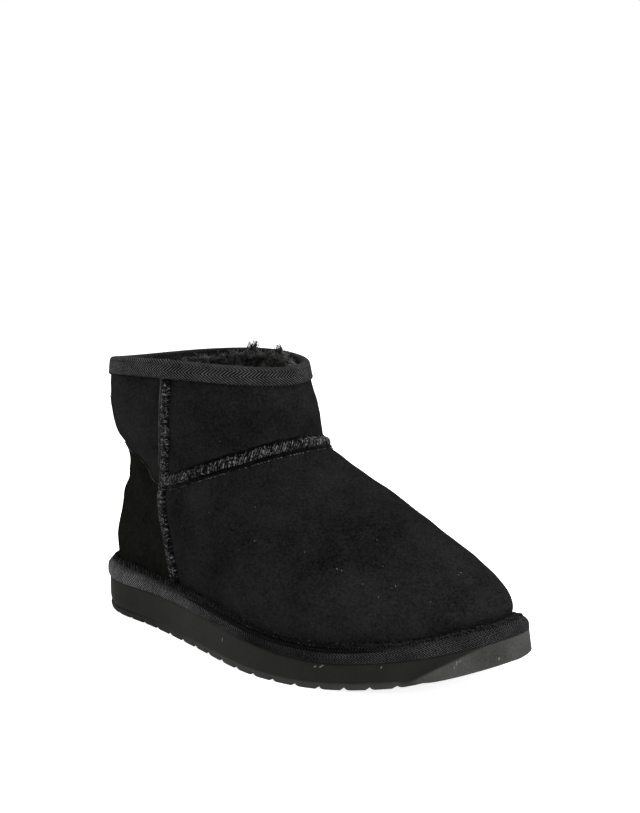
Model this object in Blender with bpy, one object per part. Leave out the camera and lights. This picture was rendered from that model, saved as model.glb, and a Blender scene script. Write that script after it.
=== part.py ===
"""Sheepskin ankle boot, right foot: a soft low shaft and a plain vamp on a wrapped foam sole.

Metres, +Z up, +X towards the toe, +Y towards the inner side (the big toe).
The pieces are worked out with the back of the sole at X 0 and the heel's centre line at Y 0.
At the end they are parented to an empty that puts the middle of the footprint at the origin.
"""

import math

import bmesh
import bpy
import numpy as np

# Sole sizes
SOLE_LENGTH = 0.265
HEEL_WIDTH = 0.0670
BALL_WIDTH = 0.1010
HEEL_HEIGHT = 0.0192  # floor to the top of the midsole, under the heel
BALL_HEIGHT = 0.0126  # the same, under the ball
TOE_SPRING = 0.0145
TREAD_THICKNESS = 0.0037
GROOVE_DEPTH = 0.0022
GROOVE_WIDTH = 0.0034
GROOVE_PITCH = 0.0125
GROOVE_WAVE = 0.0024
GROOVE_WAVE_LENGTH = 0.0520
TREAD_INSET = 0.0010
TREAD_TOE_INSET = 0.0055
TREAD_HEEL_INSET = 0.0028
ARCH_RISE = 0.0005
HEEL_BEVEL = 0.0022

# Upper sizes
WALL = 0.0030
FEATHER_INSET = 0.0090  # from the edge of the midsole to the foot of the upper
COLLAR_HEIGHT = 0.1415
COLLAR_LENGTH = 0.1214
COLLAR_WIDTH = 0.0845
COLLAR_BACK = 0.0117  # from the back of the sole to the back of the collar
COLLAR_SIDE_RISE = 0.0040
COLLAR_LEAN = 0.0005  # towards the inner side
INSTEP_LEAN = 0.0089

# Overlays and trim
GAP = 0.0003
OVERLAY_GAP = 0.0004
COUNTER_THICKNESS = 0.0014
SEAM_WIDTH = 0.0046
SEAM_HEIGHT = 0.0017
INSTEP_SEAM_WIDTH = 0.0060
INSTEP_SEAM_HEIGHT = 0.0024
INSTEP_SEAM_LIFT = 0.0006
TAPE_THICKNESS = 0.0014
TAPE_OUTER_DROP = 0.0092
TAPE_INNER_DROP = 0.0080
BINDING_HEEL_HEIGHT = 0.0103
BINDING_TOE_HEIGHT = 0.0074
BINDING_BULGE = 0.0016
INSOLE_THICKNESS = 0.0040

# How finely the curved faces are divided
AROUND = 56
UPWARD = 20
TREAD_ACROSS = 9

# The sole's edge, from the back of the heel round the inner side and home along the outer side.
# Columns: share of SOLE_LENGTH, then what the row takes of HEEL_WIDTH and of BALL_WIDTH, inner side positive.
SOLE_EDGE = (
    (0.000, 0.000, 0.000),
    (0.030, 0.290, 0.000),
    (0.100, 0.450, 0.000),
    (0.220, 0.500, 0.000),
    (0.420, 0.000, 0.328),
    (0.680, 0.000, 0.469),
    (0.860, 0.000, 0.415),
    (0.955, 0.000, 0.336),
    (1.000, 0.000, 0.091),
    (0.955, 0.000, -0.153),
    (0.860, 0.000, -0.335),
    (0.640, 0.000, -0.531),
    (0.420, 0.000, -0.446),
    (0.220, -0.500, 0.000),
    (0.100, -0.450, 0.000),
    (0.030, -0.290, 0.000),
    (0.000, 0.000, 0.000),
)

# The upper, one row for each section from the sole to the collar.
# Columns: place in the loft, how far the row belongs to the collar, then of the foot's own sections the
# heel's share of SOLE_LENGTH, the heel's share of the upper's height, the front's two shares, the half width
# as a share of BALL_WIDTH, how oval the section is, and its share of INSTEP_LEAN.
SECTIONS = (
    (0.00, 0.00, 0.0340, 0.000, 0.9660, 0.000, 1.000, 0.00, 0.00),
    (0.06, 0.00, 0.0321, 0.050, 0.9680, 0.058, 1.070, 0.00, 0.00),
    (0.11, 0.00, 0.0288, 0.092, 0.9695, 0.109, 1.078, 0.01, 0.00),
    (0.22, 0.00, 0.0287, 0.190, 0.9132, 0.208, 1.091, 0.10, 0.40),
    (0.36, 0.00, 0.0413, 0.300, 0.7996, 0.330, 1.038, 0.28, 0.80),
    (0.50, 0.00, 0.0566, 0.412, 0.6536, 0.492, 0.926, 0.38, 1.00),
    (0.66, 0.30, 0.0986, 0.555, 0.5460, 0.672, 0.907, 0.80, 0.50),
    (0.82, 0.60, 0.0470, 0.770, 0.5600, 0.840, 1.164, 1.00, 0.00),
    (0.92, 0.80, 0.0177, 0.895, 0.5360, 0.936, 1.065, 1.00, 0.00),
    (1.00, 1.00, 0.0100, 1.000, 0.5200, 1.000, 1.000, 1.00, 0.00),
)

# The seam down each side. Columns: place in the loft, degrees round from the heel.
SIDE_SEAM = (
    (0.00, 63.5),
    (0.17, 63.0),
    (0.30, 64.0),
    (0.43, 66.0),
    (0.55, 72.5),
    (0.67, 88.0),
    (0.78, 100.0),
    (0.88, 103.0),
    (1.00, 101.5),
)

# The heel counter's top edge. Columns: share of the way from the back to the side seam, place in the loft.
COUNTER_TOP = ((0.00, 0.690), (0.35, 0.685), (0.60, 0.660), (0.80, 0.608), (1.00, 0.528))

# The seam over the instep. Columns: share of the way from the side seam to the front, place in the loft.
INSTEP_SEAM = ((0.00, 0.530), (0.25, 0.566), (0.50, 0.610), (0.75, 0.647), (1.00, 0.665))


def spline(knots, values, at, closed=False):
    """Smooth curve through table rows, read at the places in at."""
    knots, values, at = (np.asarray(x, float) for x in (knots, values, at))
    count, step = len(knots), np.diff(knots)
    slope = np.diff(values) / step
    matrix, right = np.zeros((count, count)), np.zeros(count)
    for i in range(1, count - 1):
        matrix[i, i - 1 : i + 2] = step[i - 1], 2 * (step[i - 1] + step[i]), step[i]
        right[i] = 6 * (slope[i] - slope[i - 1])
    if closed:
        matrix[0, [0, 1, -2]] = 2 * (step[-1] + step[0]), step[0], step[-1]
        right[0] = 6 * (slope[0] - slope[-1])
        matrix[-1, [0, -1]] = 1, -1
    else:
        matrix[0, 0] = matrix[-1, -1] = 1
    bend = np.linalg.solve(matrix, right)
    i = np.clip(np.searchsorted(knots, at, side="right") - 1, 0, count - 2)
    a = (knots[i + 1] - at) / step[i]
    b = 1 - a
    curve = ((a**3 - a) * bend[i] + (b**3 - b) * bend[i + 1]) * step[i] ** 2 / 6
    return a * values[i] + b * values[i + 1] + curve


def ease(share):
    """0 to 1 with a soft start and end."""
    share = np.clip(share, 0, 1)
    return share * share * (3 - 2 * share)


def sole_edge(inset=0.0, count=720):
    """Points of the sole's edge in plan, moved inwards by inset, from the back of the heel."""
    rows = np.array(SOLE_EDGE)
    x = rows[:, 0] * SOLE_LENGTH
    y = rows[:, 1] * HEEL_WIDTH + rows[:, 2] * BALL_WIDTH
    place = np.concatenate([[0], np.cumsum(np.hypot(np.diff(x), np.diff(y)) ** 0.6)])
    at = np.linspace(0, place[-1], count + 1)
    edge = np.stack([spline(place, x, at, True), spline(place, y, at, True)], 1)[:-1]
    along = np.roll(edge, -1, 0) - np.roll(edge, 1, 0)
    outwards = np.stack([-along[:, 1], along[:, 0]], 1)
    outwards /= np.linalg.norm(outwards, axis=1)[:, None]
    return edge - outwards * np.reshape(inset, (-1, 1)), outwards


def floor_height(x):
    """The tread's walking face: flat under heel and ball, up at the toe and the back of the heel."""
    share = x / SOLE_LENGTH
    toe = TOE_SPRING * np.clip((share - 0.68) / 0.32, 0, 1) ** 2
    heel = HEEL_BEVEL * np.clip((0.07 - share) / 0.07, 0, 1) ** 2
    arch = ARCH_RISE * np.sin(np.pi * np.clip((share - 0.32) / 0.28, 0, 1)) ** 2
    return toe + heel + arch


def sole_top(x):
    """The midsole's upper face, a wedge that follows the toe's rise."""
    share = x / SOLE_LENGTH
    wedge = HEEL_HEIGHT + (BALL_HEIGHT - HEEL_HEIGHT) * ease((share - 0.40) / 0.40)
    return wedge + TOE_SPRING * np.clip((share - 0.68) / 0.32, 0, 1) ** 2


def binding_height(x):
    """The padded tape is tallest round the heel."""
    drop = BINDING_HEEL_HEIGHT - BINDING_TOE_HEIGHT
    return BINDING_HEEL_HEIGHT - drop * ease((x / SOLE_LENGTH - 0.05) / 0.50)


def edge_by_angle(inset):
    """The sole's edge at AROUND * 2 even angles: the angle grows from 0 at the heel to pi at the toe,
    down the outer side, and home along the inner side."""
    edge = sole_edge(inset)[0]
    back, front = edge[:, 0].min(), edge[:, 0].max()
    tip = int(edge[:, 0].argmax())
    tail = int(edge[:, 0].argmin())
    edge = np.roll(edge, -tail, 0)
    tip = (tip - tail) % len(edge)
    angle = np.arccos(np.clip(1 - 2 * (edge[:, 0] - back) / (front - back), -1, 1))
    inner = slice(0, tip + 1)
    outer = list(range(tip, len(edge))) + [0]
    at = np.linspace(0, math.pi, AROUND + 1)
    y_inner = np.interp(at, angle[inner], edge[inner, 1])
    y_outer = np.interp(at, angle[outer][::-1], edge[outer, 1][::-1])
    y_inner[[0, -1]] = y_outer[[0, -1]] = edge[0, 1], edge[tip, 1]
    y = np.concatenate([y_outer, y_inner[::-1][1:]])
    return back, front, np.linspace(0, 2 * math.pi, 2 * AROUND + 1), y


FEATHER_BACK, FEATHER_FRONT, FEATHER_ANGLE, FEATHER_Y = edge_by_angle(FEATHER_INSET)
EDGE_BACK, EDGE_FRONT, EDGE_ANGLE, EDGE_Y = edge_by_angle(0.0)
FEATHER_HALF = float(np.abs(FEATHER_Y).max())


def upper_surface(angle, up):
    """Points on the outside of the upper. angle goes round from the heel, up from the sole to the collar."""
    angle, up = np.broadcast_arrays(np.mod(np.asarray(angle, float), 2 * math.pi), np.asarray(up, float))
    rows = np.array(SECTIONS)
    place, collar, heel_x, heel_z, front_x, front_z, half, oval, lean = (
        spline(rows[:, 0], column, up) for column in rows.T
    )
    back = (1 - collar) * heel_x * SOLE_LENGTH + collar * COLLAR_BACK
    front = (1 - collar) * front_x * SOLE_LENGTH + collar * (COLLAR_BACK + COLLAR_LENGTH)
    low_back, low_front = sole_top(FEATHER_BACK) + GAP, sole_top(FEATHER_FRONT) + GAP
    back_z = low_back + heel_z * (COLLAR_HEIGHT - low_back)
    front_z = low_front + front_z * (COLLAR_HEIGHT - low_front)
    half_foot = half * FEATHER_HALF * (1 - collar) + collar * COLLAR_WIDTH / 2
    share = (1 - np.cos(angle)) / 2
    foot = spline(FEATHER_ANGLE, FEATHER_Y / FEATHER_HALF, angle, True)
    y = half_foot * ((1 - oval) * foot - oval * np.sin(angle))
    y = y + lean * INSTEP_LEAN * np.sin(share * math.pi / 2) + collar * COLLAR_LEAN
    x = back + (front - back) * share
    z = back_z + (front_z - back_z) * share
    seat = np.clip(1 - up / 0.35, 0, 1) ** 2
    chord = low_back + (low_front - low_back) * share
    z = z + seat * (sole_top(x) + GAP - chord)
    z = z + COLLAR_SIDE_RISE * up**3 * np.sin(angle) ** 2
    return np.stack([x, y, z], -1)


def upper_normal(angle, up):
    """Outward direction of the upper's face."""
    step = 0.004
    low, high = np.clip(np.asarray(up) - step, 0, 1), np.clip(np.asarray(up) + step, 0, 1)
    across = upper_surface(np.asarray(angle) + step, up) - upper_surface(np.asarray(angle) - step, up)
    rise = upper_surface(angle, high) - upper_surface(angle, low)
    normal = np.cross(across, rise)
    return normal / np.linalg.norm(normal, axis=-1)[..., None]


def on_upper(angle, up, out=0.0):
    """A point held off the upper's outer face by out, measured square to it."""
    return upper_surface(angle, up) + upper_normal(angle, up) * np.reshape(out, np.shape(out) + (1,))


def place_at_height(angle, distance, from_top=False):
    """The place in the loft that lies this far up from the sole, or down from the collar, along the face."""
    ups = np.linspace(0, 1, 81)
    line = upper_surface(np.full(81, angle), ups)
    run = np.concatenate([[0], np.cumsum(np.linalg.norm(np.diff(line, axis=0), axis=1))])
    return float(np.interp(run[-1] - distance if from_top else distance, run, ups))


def make_material(name, colour, roughness):
    material = bpy.data.materials.new(name)
    material.use_nodes = True
    shader = material.node_tree.nodes["Principled BSDF"]
    shader.inputs["Base Color"].default_value = (*colour, 1)
    shader.inputs["Roughness"].default_value = roughness
    shader.inputs["Metallic"].default_value = 0.0
    return material


def add_object(name, mesh, material, collection):
    bm = bmesh.new()
    bm.from_mesh(mesh)
    bmesh.ops.recalc_face_normals(bm, faces=bm.faces)
    bm.to_mesh(mesh)
    bm.free()
    mesh.materials.append(material)
    mesh.shade_smooth()
    mesh.set_sharp_from_angle(angle=math.radians(40))
    piece = bpy.data.objects.new(name, mesh)
    collection.objects.link(piece)
    return piece


def loft(name, rings, ends="caps"):
    """Mesh through rings of points. ends is caps, zip (the cap's faces run across a long outline that has
    a point at each tip), ladder (the same for two long sides) or loop (the last ring joins the first)."""
    rings = np.asarray(rings, float)
    levels, count = rings.shape[:2]
    ids = np.arange(levels * count).reshape(levels, count)
    faces = []
    for level in range(levels if ends == "loop" else levels - 1):
        low, high = ids[level], ids[(level + 1) % levels]
        faces += [
            (low[i], low[(i + 1) % count], high[(i + 1) % count], high[i]) for i in range(count)
        ]
    if ends == "caps":
        faces += [tuple(ids[0][::-1]), tuple(ids[-1])]
    if ends == "zip":
        for ring in (ids[0], ids[-1]):
            for i in range(count // 2):
                quad = (ring[i], ring[i + 1], ring[count - i - 1], ring[(count - i) % count])
                faces.append(tuple(dict.fromkeys(quad)))
    if ends == "ladder":
        for ring in (ids[0], ids[-1]):
            for i in range(count // 2 - 1):
                faces.append((ring[i], ring[i + 1], ring[count - i - 2], ring[count - i - 1]))
    mesh = bpy.data.meshes.new(name)
    mesh.from_pydata(rings.reshape(-1, 3).tolist(), [], [tuple(int(v) for v in f) for f in faces])
    return mesh


def ring_angles(count=AROUND):
    return np.arange(count) * 2 * math.pi / count


def edge_points(angle):
    """Plan points on the midsole's edge, matched by angle to the upper's sections."""
    share = (1 - np.cos(angle)) / 2
    x = EDGE_BACK + (EDGE_FRONT - EDGE_BACK) * share
    return np.stack([x, np.interp(angle, EDGE_ANGLE, EDGE_Y)], -1)


def edge_outwards(angle):
    step = 0.02
    along = edge_points(np.mod(angle + step, 2 * math.pi)) - edge_points(np.mod(angle - step, 2 * math.pi))
    outwards = np.stack([along[:, 1], -along[:, 0]], -1)
    return outwards / np.linalg.norm(outwards, axis=1)[:, None]


def make_midsole():
    """Foam wedge: a nearly upright wall, rounded under the heel and sharp at the toe."""
    angle = ring_angles()
    edge, outwards = edge_points(angle), edge_outwards(angle)
    share = edge[:, 0] / SOLE_LENGTH
    round_heel = ease((0.35 - share) / 0.30)
    flare = ease((share - 0.80) / 0.18)
    high = sole_top(edge[:, 0])
    profile = (  # columns: share of the wall's height, inset at the waist, more at the heel, out at the toe
        (0.00, 0.0010, 0.0022, 0.0024),
        (0.14, 0.0003, 0.0008, 0.0014),
        (0.34, 0.0000, 0.0000, 0.0006),
        (0.92, 0.0000, 0.0000, 0.0000),
        (1.00, 0.0008, 0.0000, 0.0000),
    )
    rings = []
    for up, inset, heel, toe in profile:
        out = -inset - heel * round_heel + toe * flare
        plan = edge + outwards * out[:, None]
        low = floor_height(plan[:, 0]) + TREAD_THICKNESS
        rings.append(np.column_stack([plan, low + (high - low) * up]))
    return loft("midsole", rings, "zip")


def tread_edge(x):
    """Outer and inner Y of the tread at each X, set in from the midsole's wall."""
    edge, outwards = sole_edge()
    share = edge[:, 0] / SOLE_LENGTH
    inset = (
        TREAD_INSET
        + (TREAD_HEEL_INSET - TREAD_INSET) * ease((0.16 - share) / 0.16)
        + (TREAD_TOE_INSET - TREAD_INSET) * ease((share - 0.86) / 0.14)
    )
    edge = edge - outwards * inset[:, None]
    tail, tip = int(edge[:, 0].argmin()), int(edge[:, 0].argmax())
    edge = np.roll(edge, -tail, 0)
    tip = (tip - tail) % len(edge)
    inner, outer = edge[: tip + 1], np.vstack([edge[tip:], edge[:1]])[::-1]
    return np.interp(x, outer[:, 0], outer[:, 1]), np.interp(x, inner[:, 0], inner[:, 1])


def make_outsole():
    """Tread plate with wavy grooves right across, open at both sides."""
    edge = sole_edge()[0]
    back = edge[:, 0].min() + TREAD_HEEL_INSET
    front = edge[:, 0].max() - TREAD_TOE_INSET
    taper = GROOVE_DEPTH * 0.4
    end_steps = (1 - np.cos(np.radians([9, 22, 38, 56, 74]))) * GROOVE_PITCH * 0.9
    stations = [(back + step, 0.0) for step in end_steps]
    groove = back + GROOVE_PITCH * 1.25
    while groove < front - GROOVE_PITCH * 1.1:
        for side in (-1, 1):
            edges = (0.5 * GROOVE_WIDTH, 0.5 * GROOVE_WIDTH - taper)
            for half, depth in zip(edges if side < 0 else edges[::-1], (0, 1) if side < 0 else (1, 0)):
                stations.append((groove + side * half, depth * GROOVE_DEPTH))
        groove += GROOVE_PITCH
    stations += [(front - step, 0.0) for step in end_steps[::-1]]
    rings = []
    for x, depth in stations:
        fade = ease(min(x - back, front - x) / (2 * GROOVE_PITCH))
        outer, inner = (float(v) for v in tread_edge(x))
        for _ in range(4):
            sway = [GROOVE_WAVE * fade * math.cos(y / GROOVE_WAVE_LENGTH * 2 * math.pi) for y in (outer, inner)]
            outer, inner = float(tread_edge(x + sway[0])[0]), float(tread_edge(x + sway[1])[1])
        y = np.linspace(outer, inner, TREAD_ACROSS + 1)
        xs = x + GROOVE_WAVE * fade * np.cos(y / GROOVE_WAVE_LENGTH * 2 * math.pi)
        low = floor_height(xs)
        high = low + TREAD_THICKNESS - GAP
        bottom = np.column_stack([xs, y, low + depth])
        top = np.column_stack([xs, y, high])[[-1, 0]]
        rings.append(np.vstack([bottom, top]))
    return loft("outsole", rings, "caps")


def make_upper():
    """Sheepskin shell, one wall from the sole's edge to the collar, open at both ends."""
    angle = ring_angles()
    ups = np.linspace(0, 1, UPWARD + 1) ** 0.97
    outside = [upper_surface(angle, np.full(AROUND, up)) for up in ups]
    inside = []
    for up, ring in list(zip(ups, outside))[::2]:
        normal = upper_normal(angle, np.full(AROUND, up))
        level = ease((up - 0.0) / 0.08) * ease((1.0 - up) / 0.04)
        normal[:, 2] *= level
        normal /= np.linalg.norm(normal, axis=1)[:, None]
        inside.append(ring - normal * WALL)
    inside[0][:, 2] = sole_top(inside[0][:, 0]) + GAP
    return loft("upper", outside + inside[::-1], "loop")


def make_insole():
    """Footbed that fills the upper's floor."""
    angle = ring_angles()
    first = upper_surface(angle, np.zeros(AROUND))
    normal = upper_normal(angle, np.zeros(AROUND))
    normal[:, 2] = 0
    normal /= np.linalg.norm(normal, axis=1)[:, None]
    plan = first - normal * (WALL + 4 * GAP)
    low = sole_top(plan[:, 0]) + GAP
    bottom, top = plan.copy(), plan.copy()
    bottom[:, 2], top[:, 2] = low, low + INSOLE_THICKNESS
    return loft("insole", [bottom, top], "zip")


def make_sole_binding():
    """Padded tape round the foot of the upper, standing on the midsole's edge."""
    angle = ring_angles()
    edge, outwards = edge_points(angle), edge_outwards(angle)
    base = sole_top(edge[:, 0]) + GAP
    height = binding_height(edge[:, 0])
    bulge = BINDING_BULGE * (1 - 0.9 * ease((edge[:, 0] / SOLE_LENGTH - 0.80) / 0.18))
    profile = (  # columns: way out as a share of the bulge past the wall, height share
        (0.00, 0.00),
        (0.75, 0.16),
        (1.00, 0.42),
        (0.60, 0.70),
        (-0.90, 0.90),
    )
    rings = []
    for out, up in profile:
        plan = edge + outwards * (out * bulge)[:, None]
        rings.append(np.column_stack([plan, base + up * height]))
    crown = edge - outwards * 0.42 * FEATHER_INSET
    rings.append(np.column_stack([crown, base + height]))
    for share in (0.90, 0.50, 0.02):
        ups = np.array([place_at_height(a, share * h) for a, h in zip(angle, height)])
        inner = on_upper(angle, ups, np.full(AROUND, GAP))
        if share < 0.1:
            inner[:, 2] = sole_top(inner[:, 0]) + GAP
        rings.append(inner)
    return loft("sole_binding", rings, "loop")


def make_collar_binding():
    """Woven tape folded over the collar's edge."""
    angle = ring_angles()
    rings = []

    def leg(distance, out):
        ups = np.array([place_at_height(a, distance, from_top=True) for a in angle])
        return on_upper(angle, ups, np.full(AROUND, out))

    normal = upper_normal(angle, np.ones(AROUND))
    normal[:, 2] = 0
    normal /= np.linalg.norm(normal, axis=1)[:, None]
    rim = upper_surface(angle, np.ones(AROUND))

    def cap(out, rise):
        return rim + normal * out + np.array([0, 0, rise])

    near, far = GAP, -WALL - GAP
    top = GAP + TAPE_THICKNESS
    for distance in (TAPE_OUTER_DROP, 0.5 * TAPE_OUTER_DROP, 0.05 * TAPE_OUTER_DROP):
        rings.append(leg(distance, near + TAPE_THICKNESS))
    rings += [
        cap(near + 0.6 * TAPE_THICKNESS, 0.6 * top),
        cap(near - 0.2 * TAPE_THICKNESS, top),
        cap(far + 0.2 * TAPE_THICKNESS, top),
        cap(far - 0.6 * TAPE_THICKNESS, 0.6 * top),
    ]
    for distance in (0.05 * TAPE_INNER_DROP, TAPE_INNER_DROP):
        rings.append(leg(distance, far - TAPE_THICKNESS))
    rings.append(leg(TAPE_INNER_DROP, far))
    rings += [cap(far, GAP), cap(near, GAP)]
    rings.append(leg(TAPE_OUTER_DROP, near))
    return loft("collar_binding", rings, "loop")


def side_seam_angle(up, side):
    """Where the side seam runs: side is 1 on the outer side and -1 on the inner side."""
    rows = np.array(SIDE_SEAM)
    return side * np.radians(spline(rows[:, 0], rows[:, 1], up))


def beside_side_seam(up, side, clearance):
    """Degrees round, in radians, from the side seam's centre to a line that clears the seam's edge."""
    step = 1e-3
    angle = float(side_seam_angle(up, side))
    here = upper_surface(angle, up)
    round_step = upper_surface(angle + step, up) - here
    ahead = min(up + step, 1.0)
    behind = ahead - 2 * step
    along = upper_surface(float(side_seam_angle(ahead, side)), ahead)
    along = along - upper_surface(float(side_seam_angle(behind, side)), behind)
    speed = np.linalg.norm(round_step) / step
    square = np.linalg.norm(np.cross(along, round_step)) / np.linalg.norm(along) / np.linalg.norm(round_step)
    return (SEAM_WIDTH / 2 + clearance) / (speed * square)


def make_side_seam(name, side):
    angle0 = float(side_seam_angle(0.1, side))
    low = place_at_height(angle0, binding_height(upper_surface(angle0, 0.0)[0]) + 2 * GAP)
    angle1 = float(side_seam_angle(1.0, side))
    high = place_at_height(angle1, TAPE_OUTER_DROP + 3 * GAP, from_top=True)
    ups = np.linspace(low, high, 24)
    return loft(name, ridge_on_upper(side_seam_angle(ups, side), ups, SEAM_WIDTH, SEAM_HEIGHT))


def ridge_on_upper(angle, up, width, height):
    """Sections of a rounded ridge along a line on the upper, each point set square off the upper's face."""
    line = upper_surface(angle, up)
    along = np.gradient(line, axis=0)
    normal = upper_normal(angle, up)
    across = np.cross(normal, along)
    across /= np.linalg.norm(across, axis=1)[:, None]
    # How far the loft's own coordinates move for a metre across the line
    step = 1e-3
    d_angle = (upper_surface(angle + step, up) - line) / step
    d_up = (upper_surface(angle, up + step) - line) / step
    rings = []
    profile = ((-1.0, 0.0), (-0.96, 0.55), (-0.55, 1.0), (0.55, 1.0), (0.96, 0.55), (1.0, 0.0), (0.0, 0.0))
    for i in range(len(line)):
        basis = np.stack([d_angle[i], d_up[i]], 1)
        move = np.linalg.lstsq(basis, across[i], rcond=None)[0]
        ring = []
        for side, lift in profile:
            a = angle[i] + move[0] * side * width / 2
            u = min(max(up[i] + move[1] * side * width / 2, 0), 1)
            ring.append(on_upper(a, u, OVERLAY_GAP + lift * height))
        rings.append(ring)
    return rings


def make_instep_seam():
    """Raised seam from one side seam over the instep to the other, its ends cut along the side seams."""
    rows = np.array(INSTEP_SEAM)
    shares = np.concatenate([np.linspace(0, 1, 17), np.linspace(1, 0, 17)[1:]])
    sides = [1] * 17 + [-1] * 16
    middle = spline(rows[:, 0], rows[:, 1], shares)

    def at(share, side, up):
        start = float(side_seam_angle(up, side)) + side * beside_side_seam(up, side, 3 * GAP)
        return start + (side * math.pi - start) * share

    centre = [upper_surface(at(s, side, up), up) for s, side, up in zip(shares, sides, middle)]
    along = np.gradient(np.array(centre), axis=0)
    profile = ((-1.0, 0.0), (-0.96, 0.55), (-0.55, 1.0), (0.55, 1.0), (0.96, 0.55), (1.0, 0.0), (0.0, 0.0))
    rings = []
    for share, side, up, heading in zip(shares, sides, middle, along):
        step = 2e-3
        rise = upper_surface(at(share, side, up + step), up + step)
        rise = (rise - upper_surface(at(share, side, up - step), up - step)) / (2 * step)
        square = np.linalg.norm(np.cross(rise, heading)) / np.linalg.norm(heading)
        ring = []
        for across, lift in profile:
            level = up + across * INSTEP_SEAM_WIDTH / 2 / square
            ring.append(on_upper(at(share, side, level), level, INSTEP_SEAM_LIFT + lift * INSTEP_SEAM_HEIGHT))
        rings.append(ring)
    return loft("instep_seam", rings)


def make_heel_counter():
    """Curved overlay round the back, from one side seam to the other."""
    rows = np.array(COUNTER_TOP)
    columns, levels = 31, 12
    across = np.linspace(-1, 1, columns)
    grid = np.zeros((levels, columns, 2))
    for j, share in enumerate(across):
        top = float(spline(rows[:, 0], rows[:, 1], abs(share)))
        side = 1 if share >= 0 else -1
        for i in range(levels):
            angle = 0.0
            for _ in range(3):
                low = place_at_height(angle, binding_height(upper_surface(angle, 0.0)[0]) + 2 * GAP)
                up = low + (top - low) * i / (levels - 1)
                edge = abs(float(side_seam_angle(up, side)))
                angle = share * (edge - beside_side_seam(up, side, 3 * GAP))
            grid[i, j] = angle, up
    inner = on_upper(grid[..., 0], grid[..., 1], np.full((levels, columns), OVERLAY_GAP))
    outer = on_upper(grid[..., 0], grid[..., 1], np.full((levels, columns), OVERLAY_GAP + COUNTER_THICKNESS))
    rings = [np.vstack([inner[:, j], outer[::-1, j]]) for j in range(columns)]
    return loft("heel_counter", rings, "ladder")


def main():
    for leftover in list(bpy.data.objects):
        bpy.data.objects.remove(leftover, do_unlink=True)
    collection = bpy.data.collections.new("sheepskin_ankle_boot")
    bpy.context.scene.collection.children.link(collection)
    suede = make_material("suede", (0.012, 0.012, 0.012), 0.95)
    tape = make_material("woven_tape", (0.030, 0.030, 0.030), 0.85)
    thread = make_material("seam_thread", (0.022, 0.022, 0.022), 0.80)
    foam = make_material("foam", (0.020, 0.020, 0.019), 0.70)
    rubber = make_material("tread_rubber", (0.028, 0.028, 0.027), 0.60)
    fleece = make_material("fleece", (0.010, 0.010, 0.010), 1.00)
    pieces = [
        add_object("outsole", make_outsole(), rubber, collection),
        add_object("midsole", make_midsole(), foam, collection),
        add_object("sole_binding", make_sole_binding(), tape, collection),
        add_object("insole", make_insole(), fleece, collection),
        add_object("upper", make_upper(), suede, collection),
        add_object("outer_side_seam", make_side_seam("outer_side_seam", 1), thread, collection),
        add_object("inner_side_seam", make_side_seam("inner_side_seam", -1), thread, collection),
        add_object("instep_seam", make_instep_seam(), thread, collection),
        add_object("collar_binding", make_collar_binding(), tape, collection),
        add_object("heel_counter", make_heel_counter(), suede, collection),
    ]
    corners = np.array([vertex.co for piece in pieces for vertex in piece.data.vertices])
    middle = (corners.min(axis=0) + corners.max(axis=0)) / 2
    origin = bpy.data.objects.new("boot_origin", None)
    origin.location = (-middle[0], -middle[1], 0)
    collection.objects.link(origin)
    for piece in pieces:
        piece.parent = origin


main()
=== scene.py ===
# Looks of the sheepskin ankle boot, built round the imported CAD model.
# Lengths are in metres. X runs to the toe, Y to the inner side, Z up.

import math

import bpy
import numpy as np
from mathutils import Matrix, Vector


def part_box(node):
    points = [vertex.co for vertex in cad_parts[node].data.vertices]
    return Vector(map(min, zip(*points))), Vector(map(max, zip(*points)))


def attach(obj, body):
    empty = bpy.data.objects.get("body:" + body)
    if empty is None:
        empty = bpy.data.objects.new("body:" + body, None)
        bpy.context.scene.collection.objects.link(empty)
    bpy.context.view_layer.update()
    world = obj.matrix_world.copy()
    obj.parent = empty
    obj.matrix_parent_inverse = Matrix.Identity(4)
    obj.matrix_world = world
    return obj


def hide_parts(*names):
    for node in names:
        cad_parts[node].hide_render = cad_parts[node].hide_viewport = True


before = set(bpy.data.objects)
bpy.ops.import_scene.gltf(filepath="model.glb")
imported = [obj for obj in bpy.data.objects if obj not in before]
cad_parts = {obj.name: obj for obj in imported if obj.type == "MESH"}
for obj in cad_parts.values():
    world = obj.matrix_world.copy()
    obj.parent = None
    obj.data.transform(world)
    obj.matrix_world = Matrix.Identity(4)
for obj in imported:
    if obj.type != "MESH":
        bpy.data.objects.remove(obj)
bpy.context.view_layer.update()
print("frame loaded")


# The boot's own form, the same sections as the CAD model's

shape = {
    "soleLength": 0.265,
    "heelWidth": 0.0670,
    "ballWidth": 0.1010,
    "heelHeight": 0.0192,
    "ballHeight": 0.0126,
    "toeSpring": 0.0145,
    "treadThickness": 0.0037,
    "archRise": 0.0005,
    "heelBevel": 0.0022,
    "wall": 0.0030,
    "featherInset": 0.0090,
    "collarHeight": 0.1415,
    "collarLength": 0.1214,
    "collarWidth": 0.0845,
    "collarBack": 0.0117,
    "collarSideRise": 0.0040,
    "collarLean": 0.0005,
    "instepLean": 0.0089,
    "gap": 0.0003,
    "seamWidth": 0.0046,
}

# share of the length, share of the heel's width, share of the ball's width
soleEdgeRows = np.array([
    (0.000, 0.000, 0.000),
    (0.030, 0.290, 0.000),
    (0.100, 0.450, 0.000),
    (0.220, 0.500, 0.000),
    (0.420, 0.000, 0.328),
    (0.680, 0.000, 0.469),
    (0.860, 0.000, 0.415),
    (0.955, 0.000, 0.336),
    (1.000, 0.000, 0.091),
    (0.955, 0.000, -0.153),
    (0.860, 0.000, -0.335),
    (0.640, 0.000, -0.531),
    (0.420, 0.000, -0.446),
    (0.220, -0.500, 0.000),
    (0.100, -0.450, 0.000),
    (0.030, -0.290, 0.000),
    (0.000, 0.000, 0.000),
])

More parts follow.
